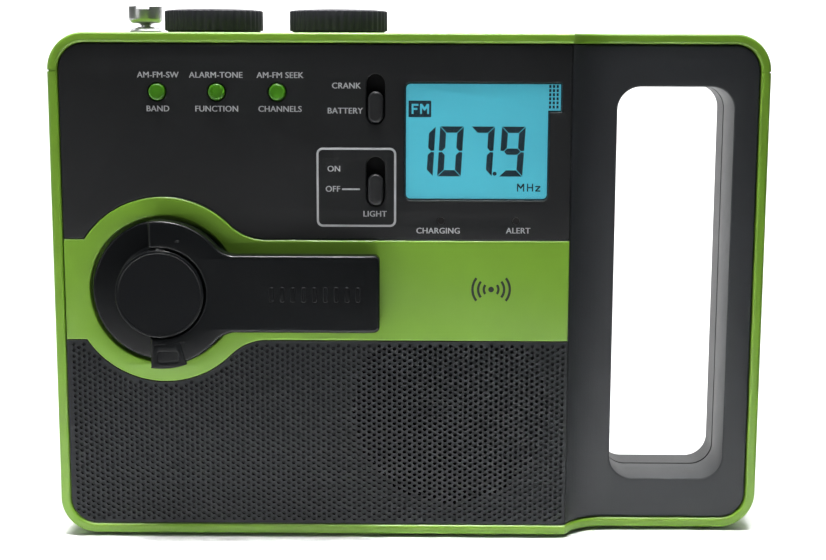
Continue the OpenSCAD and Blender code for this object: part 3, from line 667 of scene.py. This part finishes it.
def deck():
    """The plate behind the face plates: dark, and open behind the speaker, the display, the buttons, the
    lamps and the crank's well.
    """
    left, top = -BODY_W / 2 + INSET, BODY_H - INSET
    corner_r = CORNER_R - INSET
    outline = arc(left + corner_r, INSET + corner_r, corner_r, 180, 270, 10)
    outline += [(FACE_RIGHT - 0.4, INSET), (FACE_RIGHT - 0.4, top)]
    outline += arc(left + corner_r, top - corner_r, corner_r, 90, 180, 10)
    speaker_r, well_r, button_r, led_r = SPEAKER_R - 2.5, WELL_R + 1.9, 3.7, 1.7
    holes = [circle_loop(*SPEAKER, speaker_r, 64), display_loop(0.4)]
    holes += [circle_loop(x, BUTTON_Z, button_r) for x in BUTTON_X]
    holes += [circle_loop(x, LED_Z, led_r, 20) for x in LED_X]
    holes.append(circle_loop(*HUB, well_r, 64))
    loops = [outline] + [list(reversed(h)) for h in holes]
    mesh = plate_mesh("deck", loops, DECK_Y + 0.05, DECK_Y + 2.2, 0.05, 1)
    # painted shade: the deck takes the near-black shade, so the slots and gaps in front of it look dark
    return dress(finish_mesh("cabinet_deck", mesh), "casing", "graphite_plastic", RECESS_SHADE)


def handle_front():
    """The handle's front half, from the kink in the face to the parting line, with its opening's walls."""
    depth = PARTING_Y - 0.25 - HANDLE_RECESS
    outline = flip_x(clip_right(casing_loop(INSET), -FACE_RIGHT - 0.1))
    mesh = plate_mesh("handle_front", [outline, list(reversed(opening_loop()))], FACE_Y, depth, 0.6, 3)
    cut_across(mesh, bend_xs())
    for v in mesh.vertices:
        if v.co.y < depth / 2:
            v.co.y += front_depth(v.co.x)
        else:
            v.co.y += HANDLE_RECESS
    return dress(finish_mesh("handle_front", mesh), "casing", "graphite_plastic", GRAPHITE, "front_cabinet")


def speaker_grille():
    """The lower face plate, pierced by a hexagonal field of small holes.

    Those in front of the loudspeaker go right through; the others are blind."""
    left = -BODY_W / 2 + INSET
    corner_r = CORNER_R - INSET
    upper = [(x, 2 * HUB[1] - z) for x, z in band_outline(BAND_GAP)]
    top = HUB[1] - BAND_HALF - BAND_GAP
    outline = [(FACE_RIGHT, INSET), (FACE_RIGHT, top)] + upper
    outline += [(left, top)] + arc(left + corner_r, INSET + corner_r, corner_r, 180, 270, 12)
    verts, faces = [], []
    ids = {}

    def vertex(x, y, z):
        key = (round(x, 3), round(y, 3), round(z, 3))
        if key not in ids:
            ids[key] = len(verts)
            verts.append((x, y, z))
        return ids[key]

    def ring_of(cx, cz, r, y, count):
        return [vertex(cx + ray(r, 360 * i / count)[0], y, cz + ray(r, 360 * i / count)[1])
                for i in range(count)]

    def hex_corners(cx, cz, y, free):
        """A hexagon's corners, drawn in where they would come too near to the plate's edge."""
        found = []
        least_gap = 0.13
        for k in range(6):
            x, z = cx + ray(corner, 60 * k)[0], cz + ray(corner, 60 * k)[1]
            if not free:
                gap, px, pz = nearest_on(outline, x, z)
                within = inside(x, z)
                if not within or gap < least_gap:
                    sign = least_gap / max(gap, 1e-6) * (1 if within else -1)
                    x, z = px + (x - px) * sign, pz + (z - pz) * sign
            found.append(vertex(x, y, z))
        return found

    corner = HOLE_PITCH / math.sqrt(3)
    column = HOLE_PITCH * math.sqrt(3) / 2
    inside = outline_test(outline)
    back = DECK_Y - 1.0
    clear_r, wall, blind_depth, open_r = 2.4, 0.3, 0.7, SPEAKER_R - 3.4
    columns, rows = range(-75, 24), range(-25, 16)
    for i in columns:
        for j in rows:
            cx, cz = SPEAKER[0] + i * column, SPEAKER[1] + (j + (i % 2) / 2) * HOLE_PITCH
            free = all(inside(cx + ray(clear_r, a)[0], cz + ray(clear_r, a)[1]) for a in range(0, 360, 30))
            if not free and not (inside(cx, cz) and nearest_on(outline, cx, cz)[0] > GRILLE_HOLE_R + wall):
                continue
            through = math.hypot(cx - SPEAKER[0], cz - SPEAKER[1]) < open_r
            depth = back if through else FACE_Y + blind_depth
            hexagon = hex_corners(cx, cz, FACE_Y, free)
            mouth = ring_of(cx, cz, GRILLE_HOLE_R, FACE_Y, 12)
            bottom = ring_of(cx, cz, GRILLE_HOLE_R, depth, 12)
            rear = hex_corners(cx, cz, back, free)
            for k in range(6):
                a, b = 2 * k, (2 * k + 2) % 12
                faces.append((hexagon[k], hexagon[(k + 1) % 6], mouth[b], mouth[a + 1], mouth[a]))
                if through:
                    faces.append((rear[(k + 1) % 6], rear[k], bottom[a], bottom[a + 1], bottom[b]))
            for k in range(12):
                faces.append((mouth[k], mouth[(k + 1) % 12], bottom[(k + 1) % 12], bottom[k]))
            if not through:
                faces.append(tuple(bottom))
                faces.append(tuple(reversed(rear)))
    mesh = bpy.data.meshes.new("grille")
    mesh.from_pydata(verts, [], faces)
    bm = bmesh.new()
    bm.from_mesh(mesh)
    fill_margin(bm, outline, FACE_Y)
    fill_margin(bm, outline, back)
    bmesh.ops.remove_doubles(bm, verts=bm.verts, dist=0.002)
    open_edges = [e for e in bm.edges if len(e.link_faces) == 1]
    bmesh.ops.bridge_loops(bm, edges=open_edges)
    bm.to_mesh(mesh)
    bm.free()
    # the faces inside the holes take the painted hole shade
    hole_shade_faces = [FACE_Y + 0.05 < poly.center.y < back - 0.05 and inside(poly.center.x, poly.center.z)
                for poly in mesh.polygons]
    piece = dress(finish_mesh("grille_plate", mesh), "casing", "graphite_plastic", GRILLE, "speaker_grille")
    piece.data.materials.append(HOLE_SHADE)
    piece.data.polygons.foreach_set("material_index", [int(hole) for hole in hole_shade_faces])
    return piece


def outline_test(outline):
    """A function that says whether a point is inside an outline."""
    edges = list(zip(outline, outline[1:] + outline[:1]))

    def inside(x, z):
        odd = False
        for (ax, az), (bx, bz) in edges:
            if (az > z) != (bz > z) and x < ax + (z - az) * (bx - ax) / (bz - az):
                odd = not odd
        return odd

    return inside


def nearest_on(outline, x, z):
    """Distance to an outline, and its nearest point."""
    best = None
    for (ax, az), (bx, bz) in zip(outline, outline[1:] + outline[:1]):
        dx, dz = bx - ax, bz - az
        long = max(dx * dx + dz * dz, 1e-9)
        t = max(0.0, min(1.0, ((x - ax) * dx + (z - az) * dz) / long))
        px, pz = ax + t * dx, az + t * dz
        gap = math.hypot(x - px, z - pz)
        if best is None or gap < best[0]:
            best = (gap, px, pz)
    return best


def fill_margin(bm, outline, y):
    """Fills between the field of hexagons and the plate's outline at one depth."""
    open_edges = [e for e in bm.edges if len(e.link_faces) == 1
                  and all(abs(v.co.y - y) < 1e-4 for v in e.verts)]
    ring = [bm.verts.new((x, y, z)) for x, z in outline]
    border = [bm.edges.new((a, b)) for a, b in zip(ring, ring[1:] + ring[:1])]
    bmesh.ops.triangle_fill(bm, use_beauty=True, edges=open_edges + border)


# ---------------- green band

def smooth(t):
    t = max(0.0, min(1.0, t))
    return t * t * (3 - 2 * t)


def band_plate():
    """The green band with its ring, flat and rounded at the edges, and the well behind the hub."""
    left = -BODY_W / 2 + INSET
    upper = [(FACE_RIGHT, HUB[1] + BAND_HALF)] + band_outline(0) + [(left, HUB[1] + BAND_HALF)]
    lower = [(x, 2 * HUB[1] - z) for x, z in reversed(upper)]
    hole = circle_loop(*HUB, WELL_R, 120)
    face = plate("band_face", [upper + lower, list(reversed(hole))], BAND_Y, DECK_Y, 0.5, 5)
    back = DECK_Y + 2.2
    hole_r, outer_r, lip = 4.8, WELL_R + 1.6, DECK_Y - 0.4
    profile = [(WELL_R, lip), (WELL_R, WELL_FLOOR), (hole_r, WELL_FLOOR), (hole_r, back), (outer_r, back),
               (outer_r, lip), (WELL_R, lip)]
    well = lathe("band_well", profile, (HUB[0], 0, HUB[1]), "y", 120)
    return dress(join("band_plate", [face, well]), "casing", "green_plastic", GREEN, "crank_band")


# ---------------- crank

def crank_arm():
    """The fold-out arm: a fork round the cap that runs into a bar, with all its edges rounded."""
    fx, fz, touch = keyhole_corner(FORK_R, ARM_HALF, ARM_FILLET)
    fork_end = -3.1
    outer_end = math.degrees(math.acos(fork_end / FORK_R))
    inner_end = math.degrees(math.acos(fork_end / HOLE_R))
    upper = arc(0, 0, FORK_R, outer_end, touch, 26)
    upper += arc(fx, fz, ARM_FILLET, 180 + touch, 270, 12)[1:]
    upper += arc(ARM_REACH - ARM_TIP_R, ARM_HALF - ARM_TIP_R, ARM_TIP_R, 90, 0, 8)
    lower = [(x, -z) for x, z in reversed(upper)]
    inner = arc(0, 0, HOLE_R, -inner_end, inner_end, 40)
    outline = [(HUB[0] + x, HUB[1] + z) for x, z in upper + lower + inner]
    outline.reverse()
    mesh = plate_mesh("arm", [outline], ARM_FRONT, ARM_BACK, 1.05, 5)
    slope_x, slope_len = HUB[0] + ARM_REACH - 5.4, 4.6
    cut_across(mesh, [slope_x + slope_len * i / 8 for i in range(9)])
    middle = (ARM_FRONT + ARM_BACK) / 2
    for v in mesh.vertices:
        if v.co.y < middle:
            v.co.y += 0.5 * smooth((v.co.x - slope_x) / slope_len)
    arm = dress(finish_mesh("arm_shell", mesh), "arm", "crank_plastic", CRANK, "crank_arm")
    arm_relief()
    return arm


def arm_relief():
    """Raised parts on the arm: a thumb lug with a pocket, small pips and a row of grip bars."""
    parts = []
    lug_out, lug_in = FORK_R + 0.7, 15.3
    tab = arc(0, 0, lug_out, 262.5, 290, 12) + arc(0, 0, lug_in, 292, 262, 10)
    pocket = rounded_loop(-1.0, -20.4, 5.3, -17.3, 0.7, 4)
    loops = [[(HUB[0] + x, HUB[1] + z) for x, z in loop] for loop in (tab, list(reversed(pocket)))]
    parts.append(plate("lug", loops, ARM_FRONT - RELIEF, ARM_FRONT + 1.4, 0.25, 3))
    pips, pip_half = ((-0.6, 1.5, -15.0), (5.3, 7.4, -14.4), (4.7, 6.3, 15.7)), 0.3
    for x0, x1, z in pips:
        loop = rounded_loop(HUB[0] + x0, HUB[1] + z - pip_half, HUB[0] + x1, HUB[1] + z + pip_half, 0.28, 4)
        parts.append(plate("pip", [loop], ARM_FRONT - RELIEF, ARM_FRONT + 0.5, 0.2, 3))
    bar_count, first_bar, bar_pitch, bar_width, bar_half = 9, -42.0, 3.2, 1.4, 2.3
    for i in range(bar_count):
        x = first_bar + bar_pitch * i
        loop = rounded_loop(x, HUB[1] - bar_half, x + bar_width, HUB[1] + bar_half, 0.5, 4)
        parts.append(plate("bar", [loop], ARM_FRONT - RELIEF, ARM_FRONT + 0.4, 0.3, 3))
    dress(join("arm_marks", parts), "arm", "crank_plastic", CRANK)


def crank_hub():
    """The hub's lower disc, stepped up to the cap's seat, on its shaft."""
    shaft_r, back, seat_r, seat = 4, 3.5, CAP_R - 0.2, ARM_FRONT + 0.8
    profile = rounded_profile([(shaft_r, 27), (shaft_r, back), (HUB_R, back), (HUB_R, -0.75),
                               (CAP_R + 0.9, -0.85), (seat_r, -1.2), (seat_r, seat), (0, seat)],
                              [0.3, 0.3, 0.8, 0.4, 0.3, 0.3])
    piece = lathe("hub_disc", profile, (HUB[0], 0, HUB[1]), "y")
    return dress(piece, "crank", "crank_plastic", CRANK, "crank_hub")


def hub_cap():
    """A shallow round cap with a thin raised edge."""
    foot = ARM_FRONT + 0.75
    profile = rounded_profile([(0, foot), (CAP_R, foot), (CAP_R, CAP_FRONT), (CAP_R - 0.75, CAP_FRONT),
                               (CAP_R - 1.0, CAP_FRONT + 0.18), (0, CAP_FRONT + 0.12)],
                              [0.1, 0.35, 0.2, 0.15])
    piece = lathe("cap_disc", profile, (HUB[0], 0, HUB[1]), "y")
    return dress(piece, "crank", "cap_plastic", CAP, "hub_cap")


# ---------------- controls

def push_button(x, node, body):
    """A button with a flange behind the panel and a rounded front edge."""
    flange_r, back, front = 3.3, 5, FACE_Y - 0.9
    profile = rounded_profile([(0, back), (flange_r, back), (flange_r, back - 1), (BUTTON_R, back - 1),
                               (BUTTON_R, front), (0, front)], [0.1, 0.1, 0.1, 0.7], 6)
    piece = lathe(node + "_cap", profile, (x, 0, BUTTON_Z), "y", 48)
    return dress(piece, body, "button_plastic", BUTTON, node)


def slider(z, node, body):
    """A slide switch's knob, at the lower end of its slot."""
    loop = stadium_loop(SLIDER_X, z - SLIDER_TRAVEL / 2, SLIDER_W, SLIDER_LEN, 14)
    mesh = plate_mesh(node, [loop], -0.4, DECK_Y - 0.3, 0.75, 4)
    return dress(finish_mesh(node + "_knob", mesh), body, "slider_plastic", SLIDER, node)


def ribbed_knob(index, node, body):
    """A knob with round ribs, drawn in at its foot and softened at its top edge."""
    x = KNOB_X[index]
    z0 = BODY_H + 0.4
    per_rib = 8
    count, rib_depth = KNOB_RIBS * per_rib, 0.5
    top, dome = z0 + KNOB_H - 0.5, 0.45
    levels = [(0, z0 + 1.2, 0), (KNOB_R - 2.3, z0 + 1.2, 0), (KNOB_R - 2.2, z0 - 0.1, 0),
              (KNOB_R - 0.95, z0 - 0.15, 0), (KNOB_R - 0.8, z0 + 0.1, 0.5), (KNOB_R, z0 + 0.35, 1),
              (KNOB_R, z0 + 2.5, 1), (KNOB_R, top, 1), (KNOB_R - 0.12, top + 0.2, 1),
              (KNOB_R - 0.35, top + 0.34, 0.7), (KNOB_R - 0.7, top + 0.42, 0.3),
              (KNOB_R - 1.2, top + 0.48, 0)]
    levels += [(KNOB_R * share, top + 0.5 + dome * (1 - share ** 2), 0) for share in (0.8, 0.6, 0.4, 0.2, 0)]
    verts, faces = [], []
    for r, z, ribs in levels:
        for i in range(count):
            wave = (0.5 + 0.5 * math.cos(2 * math.pi * i / per_rib)) ** 0.8
            px, py = ray(max(r - rib_depth * ribs * (1 - wave), 0), 360 * i / count)
            verts.append((x + px, KNOB_Y + py, z))
    for k in range(len(levels) - 1):
        for i in range(count):
            j = (i + 1) % count
            faces.append((k * count + i, k * count + j, (k + 1) * count + j, (k + 1) * count + i))
    piece = mesh_piece(node + "_cap", verts, faces, 40)
    return dress(piece, body, "knob_plastic", KNOB, node)


# ---------------- display

def segment(x, z, width, height, thick, slant, which):
    """One bar of a slanted seven-segment digit as an outline."""
    gap = 0.14
    w, h, t = width, height, thick
    half, mid = h / 2, t / 2
    top = [(gap, h), (w - gap, h), (w - t - gap, h - t), (t + gap, h - t)]
    upper = [(0, h - gap), (t, h - t - gap), (t, half + mid + gap), (mid, half + gap), (0, half + gap * 2)]

    def across(points):
        return [(w - px, pz) for px, pz in reversed(points)]

    def below(points):
        return [(px, h - pz) for px, pz in reversed(points)]

    shapes = {
        "top": top,
        "bottom": below(top),
        "middle": [(gap + mid, half), (t + gap, half + mid), (w - t - gap, half + mid), (w - mid - gap, half),
                   (w - t - gap, half - mid), (t + gap, half - mid)],
        "upper_left": upper,
        "upper_right": across(upper),
        "lower_left": below(upper),
        "lower_right": across(below(upper)),
    }
    return [(x + px + slant * pz, z + pz) for px, pz in shapes[which]]


def letter(which, x, z, width, height, thick):
    """A plain bar letter for the display as an outline."""
    w, h, t = width, height, thick
    low, high = (h - t) / 2, (h + t) / 2
    dip, small, leg = 0.3 * h, 0.72 * h, h - 2.2 * t
    shapes = {
        "F": [(0, 0), (t, 0), (t, low), (0.85 * w, low), (0.85 * w, high), (t, high), (t, h - t), (w, h - t),
              (w, h), (0, h)],
        "M": [(0, 0), (t, 0), (t, leg), (w / 2, dip), (w - t, leg), (w - t, 0), (w, 0), (w, h),
              (w - 1.1 * t, h), (w / 2, dip + 1.9 * t), (1.1 * t, h), (0, h)],
        "H": [(0, 0), (t, 0), (t, low), (w - t, low), (w - t, 0), (w, 0), (w, h), (w - t, h), (w - t, high),
              (t, high), (t, h), (0, h)],
        "z": [(0, 0), (w, 0), (w, t), (1.6 * t, t), (w, small - t), (w, small), (0, small), (0, small - t),
              (w - 1.6 * t, small - t), (0, t)],
    }
    return [(x + px, z + pz) for px, pz in shapes[which]]


def display():
    """The display: a pale blue field with a painted glow, dark seven-segment digits and two small marks."""
    field_y = FACE_Y + 0.75
    mesh = plate_mesh("lcd", [display_loop(-0.05)], field_y, FACE_Y + 2.2, 0.1, 2)
    dress(finish_mesh("lcd_field", mesh), "casing", "lcd_glass", LCD_GLOW, "lcd_panel")
    digits = {
        "0": ("top", "bottom", "upper_left", "upper_right", "lower_left", "lower_right"),
        "1": ("upper_right", "lower_right"),
        "7": ("top", "upper_right", "lower_right"),
        "9": ("top", "middle", "bottom", "upper_left", "upper_right", "lower_right"),
    }
    layout = (("1", -0.75), ("0", 7.6), ("7", 16.8), ("9", 25.9))
    base_z, width, height, thick, slant = 110.4, 7.0, 14.8, 1.85, 0.058
    parts = []

    def ink(*loops):
        parts.append(plate("bar", loops, field_y - 0.06, field_y + 0.1, INK_EDGE, 1))

    for mark, start in layout:
        for which in digits[mark]:
            ink(segment(start, base_z, width, height, thick, slant, which))
    ink(circle_loop(24.7, base_z + 0.85, 0.6, 16))
    unit_z = 105.95
    for which, x, width in (("M", 31.4, 2.15), ("H", 34.35, 1.85), ("z", 36.85, 1.5)):
        ink(letter(which, x, unit_z, width, 2.35, 0.36))
    ink(rounded_loop(-0.95, 127.9, 5.75, 132.75, 0.2, 4))
    ink(display_loop(-0.02), list(reversed(display_loop(-0.32))))
    dash_x, dash_z, dash_w, dash_h = 40.5, 130.6, 0.62, 0.85
    for i in range(3):
        for k in range(6):
            x0, z0 = dash_x + 1.1 * i, dash_z + 1.2 * k
            ink([(x0, z0), (x0 + dash_w, z0), (x0 + dash_w, z0 + dash_h), (x0, z0 + dash_h)])
    dress(join("lcd_segments", parts), "casing", None, SEGMENT)
    # the band mark's letters take the same painted glow as the field
    light = [plate("bar", [letter(which, x, 128.85, width, 2.95, 0.56)], field_y - 0.1, field_y, INK_EDGE, 1)
             for which, x, width in (("F", -0.05, 2.0), ("M", 2.45, 2.65))]
    dress(join("lcd_band_mark", light), "casing", None, LCD_GLOW)
    mesh = plate_mesh("window", [display_loop(0.02)], FACE_Y + 0.08, FACE_Y + 0.4, 0.08, 2)
    dress(finish_mesh("window_pane", mesh), "casing", "window_plastic", WINDOW_CLEAR, "display_window")


# ---------------- printing

def lettering(text, x, z, y):
    """Plain printed letters centred on (x, z), a hair proud of the surface at depth y.

    Two copies a little apart make the strokes bolder."""
    height, bold = 1.72, 0.055
    curve = bpy.data.curves.new("print", "FONT")
    curve.body = text
    curve.size = height / 0.7
    curve.align_x = "CENTER"
    curve.align_y = "CENTER"
    curve.extrude = 0.02
    curve.space_character = 1.04
    curve.resolution_u = 3
    holder = new_object("print", curve)
    mesh = evaluated_mesh(holder)
    bpy.data.objects.remove(holder)
    mesh.transform(Matrix(((1, 0, 0, x - bold), (0, 0, -1, y), (0, 1, 0, z), (0, 0, 0, 1))))
    first = finish_mesh("print", mesh.copy())
    mesh.transform(Matrix.Translation((2 * bold, 0.004, 0)))
    return join("print", [first, finish_mesh("print", mesh)])


def printed(y, *loops):
    """A thin printed shape on the surface at depth y."""
    return plate("print", loops, y - 0.02, y + 0.1, INK_EDGE, 1)


def panel_print():
    """White function labels and the line round the lamp's switch."""
    y = FACE_Y - PRINT_LIFT
    labels = (("AM-FM-SW", -74.8, 140.0), ("ALARM-TONE", -57.7, 140.0), ("AM-FM SEEK", -38.8, 140.0),
              ("BAND", -75.0, 130.1), ("FUNCTION", -57.6, 130.1), ("CHANNELS", -38.9, 130.1),
              ("CRANK", -19.3, 137.0), ("BATTERY", -19.7, 129.65), ("ON", -23.05, 112.5),
              ("OFF", -23.4, 106.5), ("LIGHT", -10.9, 99.1), ("CHARGING", 8.0, 94.1), ("ALERT", 31.9, 94.2))
    parts = [lettering(text, x, z, y) for text, x, z in labels]
    dash = rounded_loop(-20.7, 106.25, -15.3, 106.75, 0.2, 3)
    parts.append(printed(y, dash))
    outer = rounded_loop(-28.25, 95.25, -4.55, 118.85, 1.9, 8)
    inner = rounded_loop(-27.6, 95.9, -5.2, 118.2, 1.25, 8)
    parts.append(printed(y, outer, list(reversed(inner))))
    dress(join("panel_labels", parts), "casing", None, PRINT)


def band_mark():
    """A generic sign on the band: a dot with three waves on each side."""
    x, z = 24.0, HUB[1] + 0.6
    y = BAND_Y - PRINT_LIFT
    half_stroke, reach = 0.36, 38
    parts = [printed(y, circle_loop(x, z, 0.85, 28))]
    for r in (2.2, 3.9, 5.6):
        for turn in (0, 180):
            outline = arc(x, z, r + half_stroke, turn - reach, turn + reach, 14)
            outline += arc(x, z, r - half_stroke, turn + reach, turn - reach, 14)
            parts.append(printed(y, outline))
    dress(join("band_sign", parts), "casing", None, PRINT_DARK)


# ---------------- antenna

def antenna_cap():
    """The cup-shaped cap on the antenna's tip, with a notch across its top, and the rod under it."""
    x, y = ANTENNA
    z0 = BODY_H + 2.9
    top = z0 + CAP_H
    rod_r, cap_r, dish, notch_half, notch = 1.55, 5.5, top - 0.5, 2.05, 1.05
    profile = rounded_profile([(rod_r, z0 - 0.4), (2.2, z0 + 0.1), (cap_r, z0 + 0.3), (cap_r, top),
                               (3.9, top), (3.6, dish), (0, dish)], [0.3, 1.8, 0.35, 0.2, 0.2])
    cap = lathe("antenna_cap", [(0, 12), (rod_r, 12)] + profile, (x, y, 0), "z", 64)
    cut(cap, [block(x - notch_half, x + notch_half, y - 9, y + 9, top - notch, top + 2)])
    return dress(cap, "antenna_upper", "antenna_chrome", CHROME, "antenna_tip")


def antenna_collar():
    bore, foot_r = 3.2, 5.2
    profile = rounded_profile([(bore, BODY_H), (foot_r, BODY_H), (foot_r, BODY_H + 0.7), (4.3, BODY_H + 1.7),
                               (bore, BODY_H + 1.8), (bore, BODY_H)], [0.2, 0.4, 0.5, 0.2])
    piece = lathe("antenna_socket", profile, (*ANTENNA, 0), "z", 64)
    return dress(piece, "casing", "antenna_chrome", CHROME, "antenna_collar")


# ---------------- everything

def build():
    green_frame()
    inner_wall()
    control_panel()
    deck()
    handle_front()
    speaker_grille()
    band_plate()
    crank_arm()
    crank_hub()
    hub_cap()
    for x, node, body in zip(BUTTON_X, ("band_button", "weather_button", "scan_button"),
                             ("band_key", "weather_key", "scan_key")):
        push_button(x, node, body)
    for z, node, body in zip(SLOT_Z, ("source_slider", "light_slider"), ("source_switch", "light_switch")):
        slider(z, node, body)
    for index, (node, body) in enumerate((("volume_knob", "volume"), ("tuning_knob", "tuning"))):
        ribbed_knob(index, node, body)
    display()
    panel_print()
    band_mark()
    antenna_cap()
    antenna_collar()
    dress(soften("rear_cabinet", "rear_shell", 0.4), "casing", "black_plastic", REAR, "rear_cabinet")
    dress(soften("battery_door", "door_panel", 0.25), "door", "black_plastic", REAR, "battery_door")


CAD_MATERIALS = {
    "board": BOARD, "sheet_steel": STEEL, "shaft_steel": STEEL, "antenna_chrome": CHROME,
    "gear_plastic": ACETAL, "brass": BRASS, "magnet_iron": IRON, "coil_copper": COPPER, "speaker_paper": CONE,
    "cell_sleeve": CELL_BLUE, "cell_can": CELL_CAN, "rubber": RUBBER, "lens_plastic": LENS,
    "reflector": REFLECTOR, "led_clear": LED_CLEAR, "led_plastic": LED_RED, "diffuser_plastic": WHITE,
    "lcd_glass": LCD_GLOW, "window_plastic": WINDOW_CLEAR, "green_plastic": GREEN, "black_plastic": REAR,
    "graphite_plastic": GRAPHITE, "crank_plastic": CRANK, "cap_plastic": CAP, "knob_plastic": KNOB,
    "button_plastic": BUTTON, "slider_plastic": SLIDER,
}
NODE_MATERIALS = {"cabinet_screws": SCREW, "speaker_frame": IRON}


def paint_cad():
    """Gives every CAD node the procedural material of its slot in the record."""
    for row in frame["record"]["subparts"]:
        node = frame["nodes"][row["node"]]
        material = NODE_MATERIALS.get(row["node"], CAD_MATERIALS[row["material_slot"]])
        for slot in node.material_slots:
            slot.material = material


def stage_and_light():
    """A pale sweep behind the object, soft lights and the camera."""
    paper = plastic("paper", (0.86, 0.86, 0.86), 0.9, tint=0.01, bump=0.02, specular=0.1)
    curve_y, curve_r = 0.9, 0.6
    turns = [math.radians(a) for a in range(0, 91, 6)]
    curve = [(curve_y + curve_r * math.sin(a), curve_r * (1 - math.cos(a))) for a in turns]

    def sheet(name, x0, x1, profile, lights_object):
        """One part of the paper. The outer parts are seen but don't light the object."""
        verts = [(x, y, z) for y, z in profile for x in (x0, x1)]
        faces = [(2 * k, 2 * k + 1, 2 * k + 3, 2 * k + 2) for k in range(len(profile) - 1)]
        mesh = bpy.data.meshes.new(name)
        mesh.from_pydata(verts, [], faces)
        mesh.polygons.foreach_set("use_smooth", [True] * len(mesh.polygons))
        mesh.materials.append(paper)
        part = new_object(name, mesh)
        part.visible_glossy = lights_object
        part.visible_diffuse = lights_object
        floor_parts.objects.link(part)

    floor_parts = bpy.data.collections.new("floor_parts")

    sheet("floor_back", -4, 4, [(FLOOR_BACK, 0)] + curve + [(1.5, 3.0)], True)
    sheet("floor_middle", -4, FLOOR_RIGHT, [(FLOOR_FRONT, 0), (FLOOR_BACK, 0)], True)
    sheet("floor_right", FLOOR_RIGHT, 4, [(FLOOR_FRONT, 0), (FLOOR_BACK, 0)], False)
    sheet("floor_front", -4, 4, [(-2.5, 0), (FLOOR_FRONT, 0)], False)

    world = bpy.data.worlds.new("studio")
    bpy.context.scene.world = world
    world.use_nodes = True
    world.node_tree.nodes["Background"].inputs["Color"].default_value = (0.9, 0.95, 1.0, 1)
    world.node_tree.nodes["Background"].inputs["Strength"].default_value = 0.06

    def lamp(name, place, target, size, power, spread=180):
        light = bpy.data.lights.new(name, "AREA")
        light.shape = "RECTANGLE"
        light.size, light.size_y = size
        light.energy = power
        light.spread = math.radians(spread)
        holder = new_object(name, light)
        holder.location = place
        holder.rotation_euler = (Vector(target) - Vector(place)).to_track_quat("-Z", "Y").to_euler()
        holder.visible_camera = False
        return holder

    above_object = ((-0.02, 0.05, 0.52), (-0.02, 0.05, 0.0), (0.5, 0.4), 3.6)
    lamp("top_light", *above_object)
    # this one lights the floor only, so that the object's top isn't burnt out
    floor_light = lamp("floor_light", *above_object)
    floor_light.light_linking.receiver_collection = floor_parts
    lamp("near_light", (0.0, -0.09, 0.4), (0.0, -0.09, 0.0), (0.3, 0.12), 0.36, 22)
    lamp("front_light", (0, -2.0, 1.5), (0, -2.0, 0), (6, 2.6), 75, 50)
    lamp("left_light", (-0.75, -0.6, 0.25), (0, 0, 0.08), (0.4, 0.4), 0.8)
    lamp("back_light", (0, 0.75, 1.0), (0, 1.1, 0.1), (2.4, 0.7), 19)
    lamp("wall_light", (0, 0.6, 0.9), (0, 1.5, 0.5), (2.4, 0.6), 12)

    camera = bpy.data.cameras.new("camera")
    camera.lens = 65.36
    camera.sensor_width = 36
    camera.clip_start = 0.01
    view = new_object("camera", camera)
    yaw, pitch, roll = -0.0065, 0.1548, 0.0034
    ahead = Vector((math.sin(yaw) * math.cos(pitch), math.cos(yaw) * math.cos(pitch), -math.sin(pitch)))
    side = Vector((math.cos(yaw), -math.sin(yaw), 0))
    up = side.cross(ahead)
    right = side * math.cos(roll) + up * math.sin(roll)
    above = up * math.cos(roll) - side * math.sin(roll)
    turned = Matrix((right, above, -ahead)).transposed().to_4x4()
    view_place = (0.003427, -0.468417, 0.149685)
    view.matrix_world = Matrix.Translation(view_place) @ turned
    bpy.context.scene.camera = view
    bpy.context.scene.view_settings.view_transform = "Standard"


stage_and_light()
paint_cad()
build()

bpy.context.view_layer.update()
